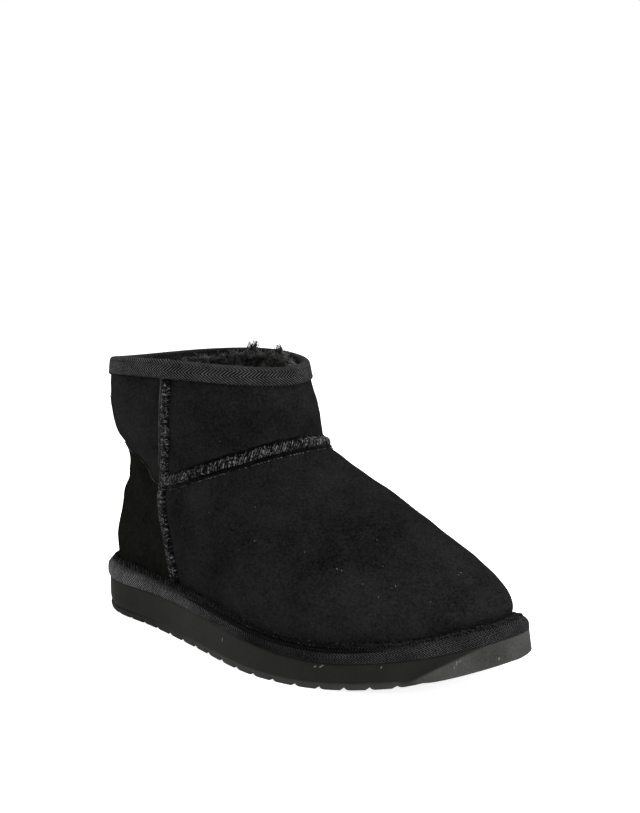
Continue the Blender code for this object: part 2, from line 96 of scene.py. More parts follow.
# place in the loft, collar's share, heel x, heel z, front x, front z, half width, oval, lean
sectionRows = np.array([
    (0.00, 0.00, 0.0340, 0.000, 0.9660, 0.000, 1.000, 0.00, 0.00),
    (0.06, 0.00, 0.0321, 0.050, 0.9680, 0.058, 1.070, 0.00, 0.00),
    (0.11, 0.00, 0.0288, 0.092, 0.9695, 0.109, 1.078, 0.01, 0.00),
    (0.22, 0.00, 0.0287, 0.190, 0.9132, 0.208, 1.091, 0.10, 0.40),
    (0.36, 0.00, 0.0413, 0.300, 0.7996, 0.330, 1.038, 0.28, 0.80),
    (0.50, 0.00, 0.0566, 0.412, 0.6536, 0.492, 0.926, 0.38, 1.00),
    (0.66, 0.30, 0.0986, 0.555, 0.5460, 0.672, 0.907, 0.80, 0.50),
    (0.82, 0.60, 0.0470, 0.770, 0.5600, 0.840, 1.164, 1.00, 0.00),
    (0.92, 0.80, 0.0177, 0.895, 0.5360, 0.936, 1.065, 1.00, 0.00),
    (1.00, 1.00, 0.0100, 1.000, 0.5200, 1.000, 1.000, 1.00, 0.00),
])

# place in the loft, degrees round from the heel
sideSeamRows = np.array([
    (0.00, 63.5), (0.17, 63.0), (0.30, 64.0), (0.43, 66.0), (0.55, 72.5),
    (0.67, 88.0), (0.78, 100.0), (0.88, 103.0), (1.00, 101.5),
])

# share of the way to the side seam or to the front, place in the loft
counterTopRows = np.array([
    (0.00, 0.698), (0.40, 0.708), (0.50, 0.702), (0.60, 0.674), (0.70, 0.634), (0.80, 0.595), (1.00, 0.521),
])
instepSeamRows = np.array([(0.00, 0.540), (0.25, 0.590), (0.50, 0.6275), (0.75, 0.652), (1.00, 0.660)])


def spline(knots, values, at, closed=False):
    knots = np.asarray(knots, float)
    values = np.asarray(values, float)
    at = np.asarray(at, float)
    count = len(knots)
    step = np.diff(knots)
    slope = np.diff(values) / step
    matrix = np.zeros((count, count))
    right = np.zeros(count)
    for i in range(1, count - 1):
        matrix[i, i - 1:i + 2] = step[i - 1], 2 * (step[i - 1] + step[i]), step[i]
        right[i] = 6 * (slope[i] - slope[i - 1])
    if closed:
        matrix[0, [0, 1, -2]] = 2 * (step[-1] + step[0]), step[0], step[-1]
        right[0] = 6 * (slope[0] - slope[-1])
        matrix[-1, [0, -1]] = 1, -1
    else:
        matrix[0, 0] = 1
        matrix[-1, -1] = 1
    bend = np.linalg.solve(matrix, right)
    i = np.clip(np.searchsorted(knots, at, side="right") - 1, 0, count - 2)
    a = (knots[i + 1] - at) / step[i]
    b = 1 - a
    curve = ((a**3 - a) * bend[i] + (b**3 - b) * bend[i + 1]) * step[i] ** 2 / 6
    return a * values[i] + b * values[i + 1] + curve


def ease(share):
    share = np.clip(share, 0, 1)
    return share * share * (3 - 2 * share)


def unit(vectors):
    return vectors / (np.linalg.norm(vectors, axis=-1)[..., None] + 1e-12)


def soleEdge(inset=0.0, count=1440):
    x = soleEdgeRows[:, 0] * shape["soleLength"]
    y = soleEdgeRows[:, 1] * shape["heelWidth"] + soleEdgeRows[:, 2] * shape["ballWidth"]
    place = np.concatenate([[0], np.cumsum(np.hypot(np.diff(x), np.diff(y)) ** 0.6)])
    at = np.linspace(0, place[-1], count + 1)
    edge = np.stack([spline(place, x, at, True), spline(place, y, at, True)], 1)[:-1]
    along = np.roll(edge, -1, 0) - np.roll(edge, 1, 0)
    outwards = unit(np.stack([-along[:, 1], along[:, 0]], 1))
    return edge - outwards * inset


def edgeByAngle(inset):
    edge = soleEdge(inset)
    edge = np.roll(edge, -int(edge[:, 0].argmin()), 0)
    back = edge[:, 0].min()
    front = edge[:, 0].max()
    tip = int(edge[:, 0].argmax())
    angle = np.arccos(np.clip(1 - 2 * (edge[:, 0] - back) / (front - back), -1, 1))
    inner = np.arange(0, tip + 1)
    outer = np.append(np.arange(tip, len(edge)), 0)
    at = np.linspace(0, math.pi, 181)
    yInner = np.interp(at, angle[inner], edge[inner, 1])
    yOuter = np.interp(at, angle[outer][::-1], edge[outer, 1][::-1])
    yInner[[0, -1]] = edge[0, 1], edge[tip, 1]
    yOuter[[0, -1]] = edge[0, 1], edge[tip, 1]
    y = np.concatenate([yOuter, yInner[::-1][1:]])
    return back, front, np.linspace(0, 2 * math.pi, 361), y


featherBack, featherFront, featherAngle, featherY = edgeByAngle(shape["featherInset"])
edgeBack, edgeFront, edgeAngle, edgeY = edgeByAngle(0.0)
featherHalf = float(np.abs(featherY).max())

# The CAD model stands with the middle of its footprint at the origin
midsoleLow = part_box("midsole")[0]
placeShift = np.array([midsoleLow.x - edgeBack, midsoleLow.y - edgeY.min(), 0.0])


def floorHeight(x):
    share = x / shape["soleLength"]
    toe = shape["toeSpring"] * np.clip((share - 0.68) / 0.32, 0, 1) ** 2
    heel = shape["heelBevel"] * np.clip((0.07 - share) / 0.07, 0, 1) ** 2
    arch = shape["archRise"] * np.sin(np.pi * np.clip((share - 0.32) / 0.28, 0, 1)) ** 2
    return toe + heel + arch


def soleTop(x):
    share = x / shape["soleLength"]
    wedge = shape["heelHeight"] + (shape["ballHeight"] - shape["heelHeight"]) * ease((share - 0.40) / 0.40)
    return wedge + shape["toeSpring"] * np.clip((share - 0.68) / 0.32, 0, 1) ** 2


def plainUpper(angle, up):
    angle, up = np.broadcast_arrays(np.mod(np.asarray(angle, float), 2 * math.pi), np.asarray(up, float))
    knots = sectionRows[:, 0]
    collar, heelX, heelZ, frontX, frontZ, half, oval, lean = (
        spline(knots, column, up) for column in sectionRows[:, 1:].T
    )
    back = (1 - collar) * heelX * shape["soleLength"] + collar * shape["collarBack"]
    collarFront = shape["collarBack"] + shape["collarLength"]
    front = (1 - collar) * frontX * shape["soleLength"] + collar * collarFront
    lowBack = soleTop(featherBack) + shape["gap"]
    lowFront = soleTop(featherFront) + shape["gap"]
    backZ = lowBack + heelZ * (shape["collarHeight"] - lowBack)
    frontZ = lowFront + frontZ * (shape["collarHeight"] - lowFront)
    halfWidth = half * featherHalf * (1 - collar) + collar * shape["collarWidth"] / 2
    share = (1 - np.cos(angle)) / 2
    foot = np.interp(angle, featherAngle, featherY / featherHalf)
    y = halfWidth * ((1 - oval) * foot - oval * np.sin(angle))
    y = y + lean * shape["instepLean"] * np.sin(share * math.pi / 2) + collar * shape["collarLean"]
    x = back + (front - back) * share
    z = backZ + (frontZ - backZ) * share
    seat = np.clip(1 - up / 0.35, 0, 1) ** 2
    chord = lowBack + (lowFront - lowBack) * share
    z = z + seat * (soleTop(x) + shape["gap"] - chord)
    z = z + shape["collarSideRise"] * up**3 * np.sin(angle) ** 2
    return np.stack([x, y, z], -1)


def plainNormal(angle, up):
    step = 0.006
    low = np.clip(np.asarray(up) - step, 0, 1)
    high = np.clip(np.asarray(up) + step, 0, 1)
    across = plainUpper(np.asarray(angle) + 0.02, up) - plainUpper(np.asarray(angle) - 0.02, up)
    rise = plainUpper(angle, high) - plainUpper(angle, low)
    return unit(np.cross(across, rise))


def sideSeamAngle(up, side):
    return side * np.radians(spline(sideSeamRows[:, 0], sideSeamRows[:, 1], up))


def besideSideSeam(up, side, clearance):
    step = 1e-3
    angle = sideSeamAngle(up, side)
    here = plainUpper(angle, up)
    roundStep = plainUpper(angle + step, up) - here
    along = plainUpper(sideSeamAngle(up + step, side), up + step)
    along = along - plainUpper(sideSeamAngle(up - step, side), up - step)
    speed = np.linalg.norm(roundStep, axis=-1) / step
    square = np.linalg.norm(np.cross(along, roundStep), axis=-1)
    square = square / np.linalg.norm(along, axis=-1) / np.linalg.norm(roundStep, axis=-1)
    return (shape["seamWidth"] / 2 + clearance) / (speed * square)


def instepAngle(share, side, up):
    start = sideSeamAngle(up, side) + side * besideSideSeam(up, side, 3 * shape["gap"])
    return start + (side * math.pi - start) * share


# Smooth unevenness that comes out the same each run

def lumps(points, length, seed, count=9):
    rng = np.random.default_rng(seed)
    total = np.zeros(points.shape[:-1])
    for i in range(count):
        direction = unit(rng.normal(size=3))
        size = length * rng.uniform(0.65, 1.6)
        total += np.sin(points @ direction * 2 * math.pi / size + rng.uniform(0, 2 * math.pi))
    return total / math.sqrt(count)


def distanceTo(path, points):
    flat = points.reshape(-1, 3)
    nearest = np.full(len(flat), 1.0)
    for start in range(0, len(flat), 20000):
        part = flat[start:start + 20000]
        gaps = np.linalg.norm(part[:, None, :] - path[None, :, :], axis=2)
        nearest[start:start + 20000] = gaps.min(axis=1)
    return nearest.reshape(points.shape[:-1])


# Lines on the upper, as angle and place in the loft

def sideSeamLine(side, count, low=0.075, high=0.955):
    up = np.linspace(low, high, count)
    return sideSeamAngle(up, side), up


def instepSeamLine(count):
    half = count // 2
    share = np.linspace(0, 1, half)
    up = spline(instepSeamRows[:, 0], instepSeamRows[:, 1], share)
    outer = instepAngle(share, 1, up)
    inner = instepAngle(share, -1, up) + 2 * math.pi
    return np.concatenate([outer, inner[::-1][1:]]), np.concatenate([up, up[::-1][1:]])


outerPath = plainUpper(*sideSeamLine(1, 220))
innerPath = plainUpper(*sideSeamLine(-1, 220))
instepPath = plainUpper(*instepSeamLine(260))


# Soft folds of the suede. Degrees round, place in the loft, heading, half length, half width, depth

folds = [
    (58, 0.665, (-0.25, 0.0, 1.0), 0.022, 0.0042, -0.0025),
    (36, 0.682, (0.0, 1.0, 0.0), 0.024, 0.0056, -0.0019),
    (30, 0.595, (0.0, 1.0, 0.0), 0.026, 0.0070, 0.0012),
    (50, 0.610, (0.5, 0.0, -0.9), 0.018, 0.0050, 0.0009),
    (104, 0.700, (0.9, 0.0, 0.45), 0.024, 0.0060, -0.0010),
    (121, 0.735, (0.9, 0.0, 0.30), 0.022, 0.0060, 0.0008),
    (150, 0.715, (0.7, 0.6, 0.10), 0.026, 0.0050, -0.0007),
    (112, 0.850, (0.2, 0.0, 1.0), 0.016, 0.0070, 0.0007),
    (82, 0.420, (0.35, 0.0, -1.0), 0.024, 0.0060, -0.0008),
    (92, 0.330, (0.20, 0.0, -1.0), 0.026, 0.0060, 0.0010),
    (101, 0.290, (0.35, 0.0, -1.0), 0.024, 0.0070, -0.0008),
    (118, 0.420, (0.9, 0.0, -0.20), 0.026, 0.0080, 0.0007),
    (140, 0.300, (0.5, 0.8, -0.10), 0.026, 0.0080, -0.0008),
    (150, 0.210, (0.5, 0.7, -0.40), 0.020, 0.0070, 0.0007),
    (240, 0.700, (-0.8, 0.3, 0.35), 0.024, 0.0060, -0.0010),
    (262, 0.380, (0.3, 0.0, -1.0), 0.024, 0.0070, -0.0009),
    (304, 0.665, (-0.25, 0.0, 1.0), 0.020, 0.0050, -0.0013),
    (165, 0.705, (0.0, 1.0, 0.0), 0.030, 0.0080, -0.0014),
    (0, 0.400, (0.0, 1.0, 0.0), 0.034, 0.0160, -0.0008),
    (150, 0.560, (0.6, 0.7, -0.50), 0.022, 0.0090, -0.0006),
    (168, 0.420, (0.1, 1.0, 0.0), 0.022, 0.0080, 0.0006),
    (128, 0.190, (0.6, 0.6, -0.30), 0.016, 0.0070, -0.0006),
    (98, 0.600, (1.0, 0.0, 0.3), 0.016, 0.0050, 0.0006),
]


relief = {
    "waves": [(0.00026, 0.034, 11), (0.00018, 0.015, 12)],  # height, length, seed
    "sideSeamPull": 0.0013,
    "instepSeamPull": 0.0010,
    "pullReach": 0.0046,
    "puff": 0.00035,
    "puffFrom": 0.0115,
    "puffReach": 0.0050,
    "bow": 0.35,
    "deepest": 0.0028,  # less than the wall, so that no fold reaches the lining
}


def reliefOf(points):
    raised = sum(height * lumps(points, length, seed) for height, length, seed in relief["waves"])
    pulls = ((outerPath, "sideSeamPull"), (innerPath, "sideSeamPull"), (instepPath, "instepSeamPull"))
    for path, pull in pulls:
        gap = distanceTo(path, points)
        raised -= relief[pull] * np.exp(-((gap / relief["pullReach"]) ** 2))
        raised += relief["puff"] * np.exp(-(((gap - relief["puffFrom"]) / relief["puffReach"]) ** 2))
    for degrees, up, heading, halfLength, halfWidth, depth in folds:
        centre = plainUpper(math.radians(degrees), up)
        normal = plainNormal(math.radians(degrees), up)
        along = np.array(heading, float)
        along = unit(along - normal * (along @ normal))
        across = np.cross(normal, along)
        offset = points - centre
        s = offset @ along / halfLength
        bow = offset @ across / halfWidth - relief["bow"] * s * s
        raised += depth * np.exp(-(s * s) - bow * bow)
    return np.where(raised < 0, relief["deepest"] * np.tanh(raised / relief["deepest"]), raised)


def upperAt(angle, up, out=0.0):
    points = plainUpper(angle, up)
    normal = plainNormal(angle, up)
    lift = reliefOf(points) + out
    return points + normal * lift[..., None]


# Mesh makers

def finishMesh(piece, material, replaced=()):
    piece.data.materials.clear()
    piece.data.materials.append(material)
    for polygon in piece.data.polygons:
        polygon.use_smooth = True
    piece.location = placeShift
    bpy.context.view_layer.update()
    piece.data.transform(piece.matrix_world)
    piece.matrix_world.identity()
    piece.location = (0, 0, 0)
    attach(piece, "root")
    if replaced:
        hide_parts(*replaced)
    return piece


def newPiece(name, points, faces, uv=None):
    mesh = bpy.data.meshes.new(name)
    if isinstance(faces, np.ndarray):
        faces = faces.tolist()
    mesh.from_pydata(points.reshape(-1, 3).tolist(), [], faces)
    if uv is not None:
        layer = mesh.uv_layers.new(name="UVMap")
        loops = np.zeros(len(mesh.loops), np.int32)
        mesh.loops.foreach_get("vertex_index", loops)
        layer.data.foreach_set("uv", uv.reshape(-1, 2)[loops].astype(np.float32).ravel())
    mesh.update()
    piece = bpy.data.objects.new(name, mesh)
    bpy.context.scene.collection.objects.link(piece)
    return piece


def gridFaces(rows, columns, closedRows=False, closedColumns=False):
    ids = np.arange(rows * columns).reshape(rows, columns)
    if closedRows:
        ids = np.vstack([ids, ids[:1]])
    if closedColumns:
        ids = np.hstack([ids, ids[:, :1]])
    return np.stack([ids[:-1, :-1], ids[:-1, 1:], ids[1:, 1:], ids[1:, :-1]], -1).reshape(-1, 4)


def acrossCap(ring):
    faces = []
    count = len(ring)
    for i in range(count // 2):
        corners = (ring[i], ring[i + 1], ring[count - i - 1], ring[(count - i) % count])
        faces.append(tuple(dict.fromkeys(int(corner) for corner in corners)))
    return faces


def singleEnds(ids):
    return [ids[0][::-1].tolist(), ids[-1].tolist()]


def stripEnds(ids):
    return acrossCap(ids[0][::-1]) + acrossCap(ids[-1])


# closed rings one after another, with faces over the first and the last
def cappedPiece(name, rings, ends=singleEnds):
    ids = np.arange(rings.shape[0] * rings.shape[1]).reshape(rings.shape[:2])
    faces = gridFaces(*rings.shape[:2], closedColumns=True).tolist()
    return newPiece(name, rings, faces + ends(ids))


# Threads and hairs: each is a thin tube along its own line of points, and all are one mesh

def wrapTubes(name, centre, side, up, radius, sides):
    count, steps = centre.shape[:2]
    turn = np.arange(sides) * 2 * math.pi / sides
    cosines = np.cos(turn)[None, None, :, None]
    sines = np.sin(turn)[None, None, :, None]
    ring = side[:, :, None] * cosines + up[:, :, None] * sines
    points = centre[:, :, None] + ring * radius[:, :, None, None]
    ids = np.arange(count * steps * sides).reshape(count, steps, sides)
    low = ids[:, :-1]
    high = ids[:, 1:]
    quads = np.stack([low, np.roll(low, -1, 2), np.roll(high, -1, 2), high], -1).reshape(-1, 4).tolist()
    caps = ids[:, 0][:, ::-1].tolist() + ids[:, -1].tolist()
    return newPiece(name, points, quads + caps)


def strands(name, centre, up, radius, sides=6):
    count, steps = centre.shape[:2]
    t = np.linspace(0, 1, steps)
    along = unit(np.gradient(centre, axis=1))
    side = unit(np.cross(along, up))
    up = np.cross(side, along)
    taper = 0.45 + 0.55 * np.sqrt(np.clip(1 - (2 * t - 1) ** 4, 0, 1))
    return wrapTubes(name, centre, side, up, np.broadcast_to(radius, (count,))[:, None] * taper[None], sides)


def threads(name, start, end, lift, radius, sides=6, steps=6):
    t = np.linspace(0, 1, steps)
    bow = (4 * t * (1 - t))[None, :, None]
    straight = start[:, None] * (1 - t)[None, :, None] + end[:, None] * t[None, :, None]
    centre = straight + lift[:, None] * bow
    return strands(name, centre, unit(lift)[:, None, :] + np.zeros_like(centre), radius, sides)


# Threads over a welt: from one place across it to another, following its round top

def weltThreads(name, line, width, height, profile, first, last, slant, jitter, lift, radius, steps=7):
    points, normal, along, across = line
    sides = np.array([row[0] for row in profile])
    rises = np.array([row[1] for row in profile])
    t = np.linspace(0, 1, steps)
    place = first + (last - first) * t
    width = np.broadcast_to(width, len(points))[:, None]
    height = np.broadcast_to(height, len(points))[:, None]
    rise = np.interp(place, sides, rises)[None] * height + lift - 0.9 * radius.mean() * (2 * t - 1) ** 6
    centre = points[:, None] + across[:, None] * (place[None] * width / 2)[..., None]
    centre = centre + normal[:, None] * rise[..., None]
    centre = centre + along[:, None] * (jitter[:, None] + slant * (t - 0.5)[None])[:, :, None]
    return strands(name, centre, normal[:, None] + np.zeros_like(centre), radius, 5)


def tube(name, centre, normal, radius, sides=10):
    along = unit(np.gradient(centre, axis=0))
    side = unit(np.cross(along, normal))
    up = np.cross(side, along)
    turn = np.arange(sides) * 2 * math.pi / sides
    ring = side[:, None] * np.cos(turn)[None, :, None] + up[:, None] * np.sin(turn)[None, :, None]
    points = centre[:, None] + ring * np.broadcast_to(radius, (len(centre),))[:, None, None]
    return cappedPiece(name, points)


def joinPieces(name, pieces):
    for each in bpy.context.selected_objects:
        each.select_set(False)
    for each in pieces:
        each.select_set(True)
    bpy.context.view_layer.objects.active = pieces[0]
    bpy.ops.object.join()
    result = bpy.context.view_layer.objects.active
    result.name = name
    result.data.name = name
    result.select_set(False)
    return result


def lineFrame(angle, up, out=0.0):
    points = upperAt(angle, up, out)
    plain = plainUpper(angle, up)
    normal = plainNormal(angle, up)
    along = unit(np.gradient(plain, axis=0))
    across = unit(np.cross(normal, along))
    return points, normal, along, across


# distance along a line of points
def runOf(line):
    return np.concatenate([[0], np.cumsum(np.linalg.norm(np.diff(line, axis=0), axis=1))])


def spaced(angle, up, spacing):
    run = runOf(plainUpper(angle, up))
    at = np.arange(spacing / 2, run[-1], spacing)
    return np.interp(at, run, angle), np.interp(at, run, up)


# a tape, as rings that run along it; its UV is in metres along and across
def makeBand(name, rings, runAlong, runAcross):
    lengthwise = np.broadcast_to(runAlong, rings.shape[:2])
    crosswise = np.broadcast_to(np.array(runAcross)[:, None], rings.shape[:2])
    uv = np.stack([lengthwise, crosswise], -1)
    return newPiece(name, rings, gridFaces(*rings.shape[:2], closedRows=True), uv)


# Materials

def startMaterial(name, roughness, specular, sheen=0.0, sheenRoughness=0.5, sheenTint=(1, 1, 1)):
    material = bpy.data.materials.new(name)
    material.use_nodes = True
    shader = material.node_tree.nodes["Principled BSDF"]
    shader.inputs["Roughness"].default_value = roughness
    shader.inputs["Specular IOR Level"].default_value = specular
    shader.inputs["Sheen Weight"].default_value = sheen
    shader.inputs["Sheen Roughness"].default_value = sheenRoughness
    shader.inputs["Sheen Tint"].default_value = (*sheenTint, 1)
    coordinates = material.node_tree.nodes.new("ShaderNodeTexCoord")
    return material, material.node_tree, shader, coordinates


def noise(tree, coordinates, scale, detail=3.0, roughness=0.5, stretch=None):
    node = tree.nodes.new("ShaderNodeTexNoise")
    node.inputs["Scale"].default_value = scale
    node.inputs["Detail"].default_value = detail
    node.inputs["Roughness"].default_value = roughness
    source = coordinates.outputs["Object"]
    if stretch:
        mapping = tree.nodes.new("ShaderNodeMapping")
        mapping.inputs["Scale"].default_value = stretch
        tree.links.new(source, mapping.inputs["Vector"])
        source = mapping.outputs["Vector"]
    tree.links.new(source, node.inputs["Vector"])
    return node.outputs["Fac"]


def sums(tree, operation, first, second=None, third=None):
    node = tree.nodes.new("ShaderNodeMath")
    node.operation = operation
    for index, value in enumerate((first, second, third)):
        if value is None:
            continue
        if isinstance(value, (int, float)):
            node.inputs[index].default_value = value
        else:
            tree.links.new(value, node.inputs[index])
    return node.outputs[0]


def remap(tree, value, fromLow, fromHigh, toLow=0.0, toHigh=1.0):
    node = tree.nodes.new("ShaderNodeMapRange")
    node.inputs["From Min"].default_value = fromLow
    node.inputs["From Max"].default_value = fromHigh
    node.inputs["To Min"].default_value = toLow
    node.inputs["To Max"].default_value = toHigh
    tree.links.new(value, node.inputs["Value"])
    return node.outputs["Result"]


def mixColour(tree, share, first, second):
    node = tree.nodes.new("ShaderNodeMix")
    node.data_type = "RGBA"
    for socket, value in ((node.inputs[0], share), (node.inputs[6], first), (node.inputs[7], second)):
        if isinstance(value, tuple):
            socket.default_value = (*value, 1)
        elif isinstance(value, (int, float)):
            socket.default_value = value
        else:
            tree.links.new(value, socket)
    return node.outputs[2]


def bump(tree, shader, height, distance, strength=1.0, under=None):
    node = tree.nodes.new("ShaderNodeBump")
    node.inputs["Distance"].default_value = distance
    node.inputs["Strength"].default_value = strength
    tree.links.new(height, node.inputs["Height"])
    if under is not None:
        tree.links.new(under, node.inputs["Normal"])
    tree.links.new(node.outputs["Normal"], shader.inputs["Normal"])
    return node.outputs["Normal"]


def grey(tone):
    return tone, tone, tone


def placeOn(tree, coordinates, axis="X"):
    node = tree.nodes.new("ShaderNodeSeparateXYZ")
    tree.links.new(coordinates.outputs["Object"], node.inputs[0])
    return node.outputs[axis]


suedeLook = {
    "dark": grey(0.0006),
    "light": grey(0.0138),
    # painted light: the suede is a little paler over the toe
    "toe": 1.30,  # a little paler over the toe
    "toeFrom": 0.050,
    "toeTo": 0.105,
    "sheen": 0.004,
    "clouds": 0.40,
    "strokes": 0.12,
    "fibres": 0.56,
}
counterLook = {
    **suedeLook,
    "dark": (0.0004, 0.0004, 0.0003), "light": (0.0084, 0.0084, 0.0071), "sheen": 0.001,
}


def suedeMaterial(name, look):
    material, tree, shader, coordinates = startMaterial(name, 0.95, 0.0, look["sheen"], 0.35)
    clouds = remap(tree, noise(tree, coordinates, 24, 5, 0.62), 0.36, 0.64)
    strokes = remap(tree, noise(tree, coordinates, 170, 4, 0.65, (1.0, 1.0, 2.0)), 0.32, 0.68)
    fibres = remap(tree, noise(tree, coordinates, 760, 4, 0.9), 0.38, 0.62)
    brushed = sums(tree, "MULTIPLY", strokes, look["strokes"])
    share = sums(tree, "MULTIPLY_ADD", clouds, look["clouds"], brushed)
    share = sums(tree, "MULTIPLY_ADD", fibres, look["fibres"], share)
    # painted light over the toe
    paintedToeLight = remap(tree, placeOn(tree, coordinates), look["toeFrom"], look["toeTo"], 1.0, look["toe"])
    share = sums(tree, "MULTIPLY", share, paintedToeLight)
    tree.links.new(mixColour(tree, share, look["dark"], look["light"]), shader.inputs["Base Color"])
    soft = bump(tree, shader, clouds, 0.0006, 0.5)
    brushed = bump(tree, shader, strokes, 0.00040, 0.7, soft)
    bump(tree, shader, fibres, 0.00030, 0.9, brushed)
    return material


# heel, middle and toe are tones along the boot, painted light that makes the ends lighter where the side
# lamps fall; inside is the tone past the fold, painted shade on the collar tape's inner side, and on the sole
# tape it darkens the upper part of the tape
collarTapeLook = {
    "dark": grey(0.0016), "light": grey(0.0800), "sheen": 0.004,
    "rowWidth": 0.0046, "pitch": 0.00190, "ply": 0.00075,
    "heel": 1.75, "heelFrom": -0.055, "heelTo": -0.110, "middle": 1.0,
    "toe": 1.0, "toeFrom": 0.035, "toeTo": 0.110,
    "inside": 0.35, "insideToe": 0.35, "insideFrom": 0.0125, "insideOver": 0.0025,
}
# on the sole tape the painted light is much darker in the middle, lighter at the heel and lighter still at
# the toe
soleTapeLook = {
    **collarTapeLook, "light": grey(0.330), "rowWidth": 0.0026, "pitch": 0.0015,
    "heel": 0.80, "heelFrom": 0.030, "heelTo": -0.126, "middle": 0.066, "toe": 3.0,
    "inside": 0.45, "insideToe": 0.90, "insideFrom": 0.0075,
}


def tapeMaterial(name, look):
    material, tree, shader, coordinates = startMaterial(name, 0.85, 0.0, look["sheen"], 0.4)
    split = tree.nodes.new("ShaderNodeSeparateXYZ")
    tree.links.new(coordinates.outputs["UV"], split.inputs[0])
    lengthwise, crosswise = split.outputs["X"], split.outputs["Y"]
    # herringbone rows of slanted ribs, crossed by fine plies
    wobble = remap(tree, noise(tree, coordinates, 90, 2, 0.5), 0, 1, -0.0006, 0.0006)
    wavering = sums(tree, "ADD", lengthwise, wobble)
    zigzag = sums(tree, "PINGPONG", crosswise, look["rowWidth"])
    slanted = sums(tree, "MULTIPLY_ADD", zigzag, 1.30, wavering)
    turns = sums(tree, "MULTIPLY", slanted, 2 * math.pi / look["pitch"])
    ribs = remap(tree, sums(tree, "SINE", turns), -0.15, 0.85)
    plyTurns = sums(tree, "MULTIPLY", crosswise, 2 * math.pi / look["ply"])
    plies = sums(tree, "MULTIPLY_ADD", sums(tree, "SINE", plyTurns), 0.5, 0.5)
    weave = sums(tree, "MULTIPLY", ribs, sums(tree, "MULTIPLY_ADD", plies, 0.45, 0.55))
    worn = remap(tree, noise(tree, coordinates, 55, 3, 0.6), 0.3, 0.7, 0.45, 1.10)
    fuzz = remap(tree, noise(tree, coordinates, 1000, 3, 0.8), 0.32, 0.68, 0.30, 1.60)
    wear = sums(tree, "MULTIPLY", worn, fuzz)
    share = sums(tree, "MULTIPLY", sums(tree, "MULTIPLY_ADD", weave, 0.94, 0.03), wear)
    # painted light from the heel to the toe, and darker past the fold, painted shade on the collar tape
    place = placeOn(tree, coordinates)
    heel = remap(tree, place, look["heelFrom"], look["heelTo"], look["middle"], look["heel"])
    toe = remap(tree, place, look["toeFrom"], look["toeTo"], 1.0, look["toe"])
    share = sums(tree, "MULTIPLY", share, sums(tree, "MULTIPLY", heel, toe))
    # painted shade: darker past insideFrom across the tape
    covered = remap(tree, crosswise, look["insideFrom"], look["insideFrom"] + look["insideOver"])
    shading = remap(tree, place, 0.070, 0.110, look["inside"] - 1, look["insideToe"] - 1)
    share = sums(tree, "MULTIPLY", share, sums(tree, "MULTIPLY_ADD", covered, shading, 1.0))
    tree.links.new(mixColour(tree, share, look["dark"], look["light"]), shader.inputs["Base Color"])
    bump(tree, shader, weave, 0.00040, 1.0)
    return material


# vary is how much one thread may be darker than the next, scale the fineness of its specks
threadLooks = {
    "seamThread": {"dark": grey(0.0015), "light": grey(0.140), "scale": 900, "vary": 0.90},
    # seamGround is near black: painted shade between the threads of the seams
    "seamGround": {"dark": grey(0.0006), "light": grey(0.0035), "scale": 900, "vary": 0.0},
    # foldedEdge is paler than the suede: a painted highlight along the folded edges
    "foldedEdge": {"dark": (0.010, 0.010, 0.0095), "light": (0.034, 0.034, 0.032), "scale": 160, "vary": 0.0},
    "ropeThread": {"dark": grey(0.0010), "light": grey(0.030), "scale": 900, "vary": 0.85},
    "lintThread": {"dark": grey(0.050), "light": grey(0.130), "scale": 900, "vary": 0.5},
}


def threadMaterial(name):
    look = threadLooks[name]
    material, tree, shader, coordinates = startMaterial(name, 0.75, 0.02, 0.004, 0.35)
    share = remap(tree, noise(tree, coordinates, look["scale"], 2, 0.6), 0.42, 0.64)
    single = tree.nodes.new("ShaderNodeNewGeometry").outputs["Random Per Island"]
    share = sums(tree, "MULTIPLY", share, remap(tree, single, 0.0, 1.0, 1 - look["vary"], 1.0))
    tree.links.new(mixColour(tree, share, look["dark"], look["light"]), shader.inputs["Base Color"])
    twist = noise(tree, coordinates, 2600, 2, 0.6)
    bump(tree, shader, twist, 0.00018, 0.8)
    return material


woolLook = {"dark": (0.0150, 0.0148, 0.0144), "light": (0.150, 0.146, 0.142), "sheenTint": (1.0, 0.95, 0.9)}


def woolMaterial(name, look):
    material, tree, shader, coordinates = startMaterial(name, 0.9, 0.0, 0.006, 0.4, look["sheenTint"])
    share = remap(tree, noise(tree, coordinates, 330, 4, 0.7), 0.38, 0.72)
    tree.links.new(mixColour(tree, share, look["dark"], look["light"]), shader.inputs["Base Color"])
    curls = noise(tree, coordinates, 620, 4, 0.7)
    bump(tree, shader, curls, 0.0012, 0.9)
    return material


# heel is the darker tone behind, between two places along the boot, painted shade on the wedge; the pale
# slanted toe facet is painted light
wedgeLook = {
    "dark": (0.0066, 0.0066, 0.0060),
    "light": (0.0120, 0.0120, 0.0112),
    # painted shade: the wedge darker at the heel
    "heel": {
        "from": -0.110, "to": -0.060,
        "dark": (0.0042, 0.0042, 0.0036), "light": (0.0074, 0.0074, 0.0066),
    },
    # painted light on the slanted toe facet
    "cap": {"start": 0.1020, "lean": 1.5, "foot": 0.0085, "colour": (0.046, 0.046, 0.045)},
}
tornFoamLook = {"dark": (0.060, 0.060, 0.058), "light": (0.160, 0.160, 0.155)}
treadLook = {
    "dark": (0.018, 0.018, 0.017),
    "light": (0.031, 0.031, 0.030),
    "heel": {
        "from": -0.070, "to": -0.005,
        "dark": (0.0064, 0.0064, 0.0058), "light": (0.0112, 0.0112, 0.0104),
    },
}


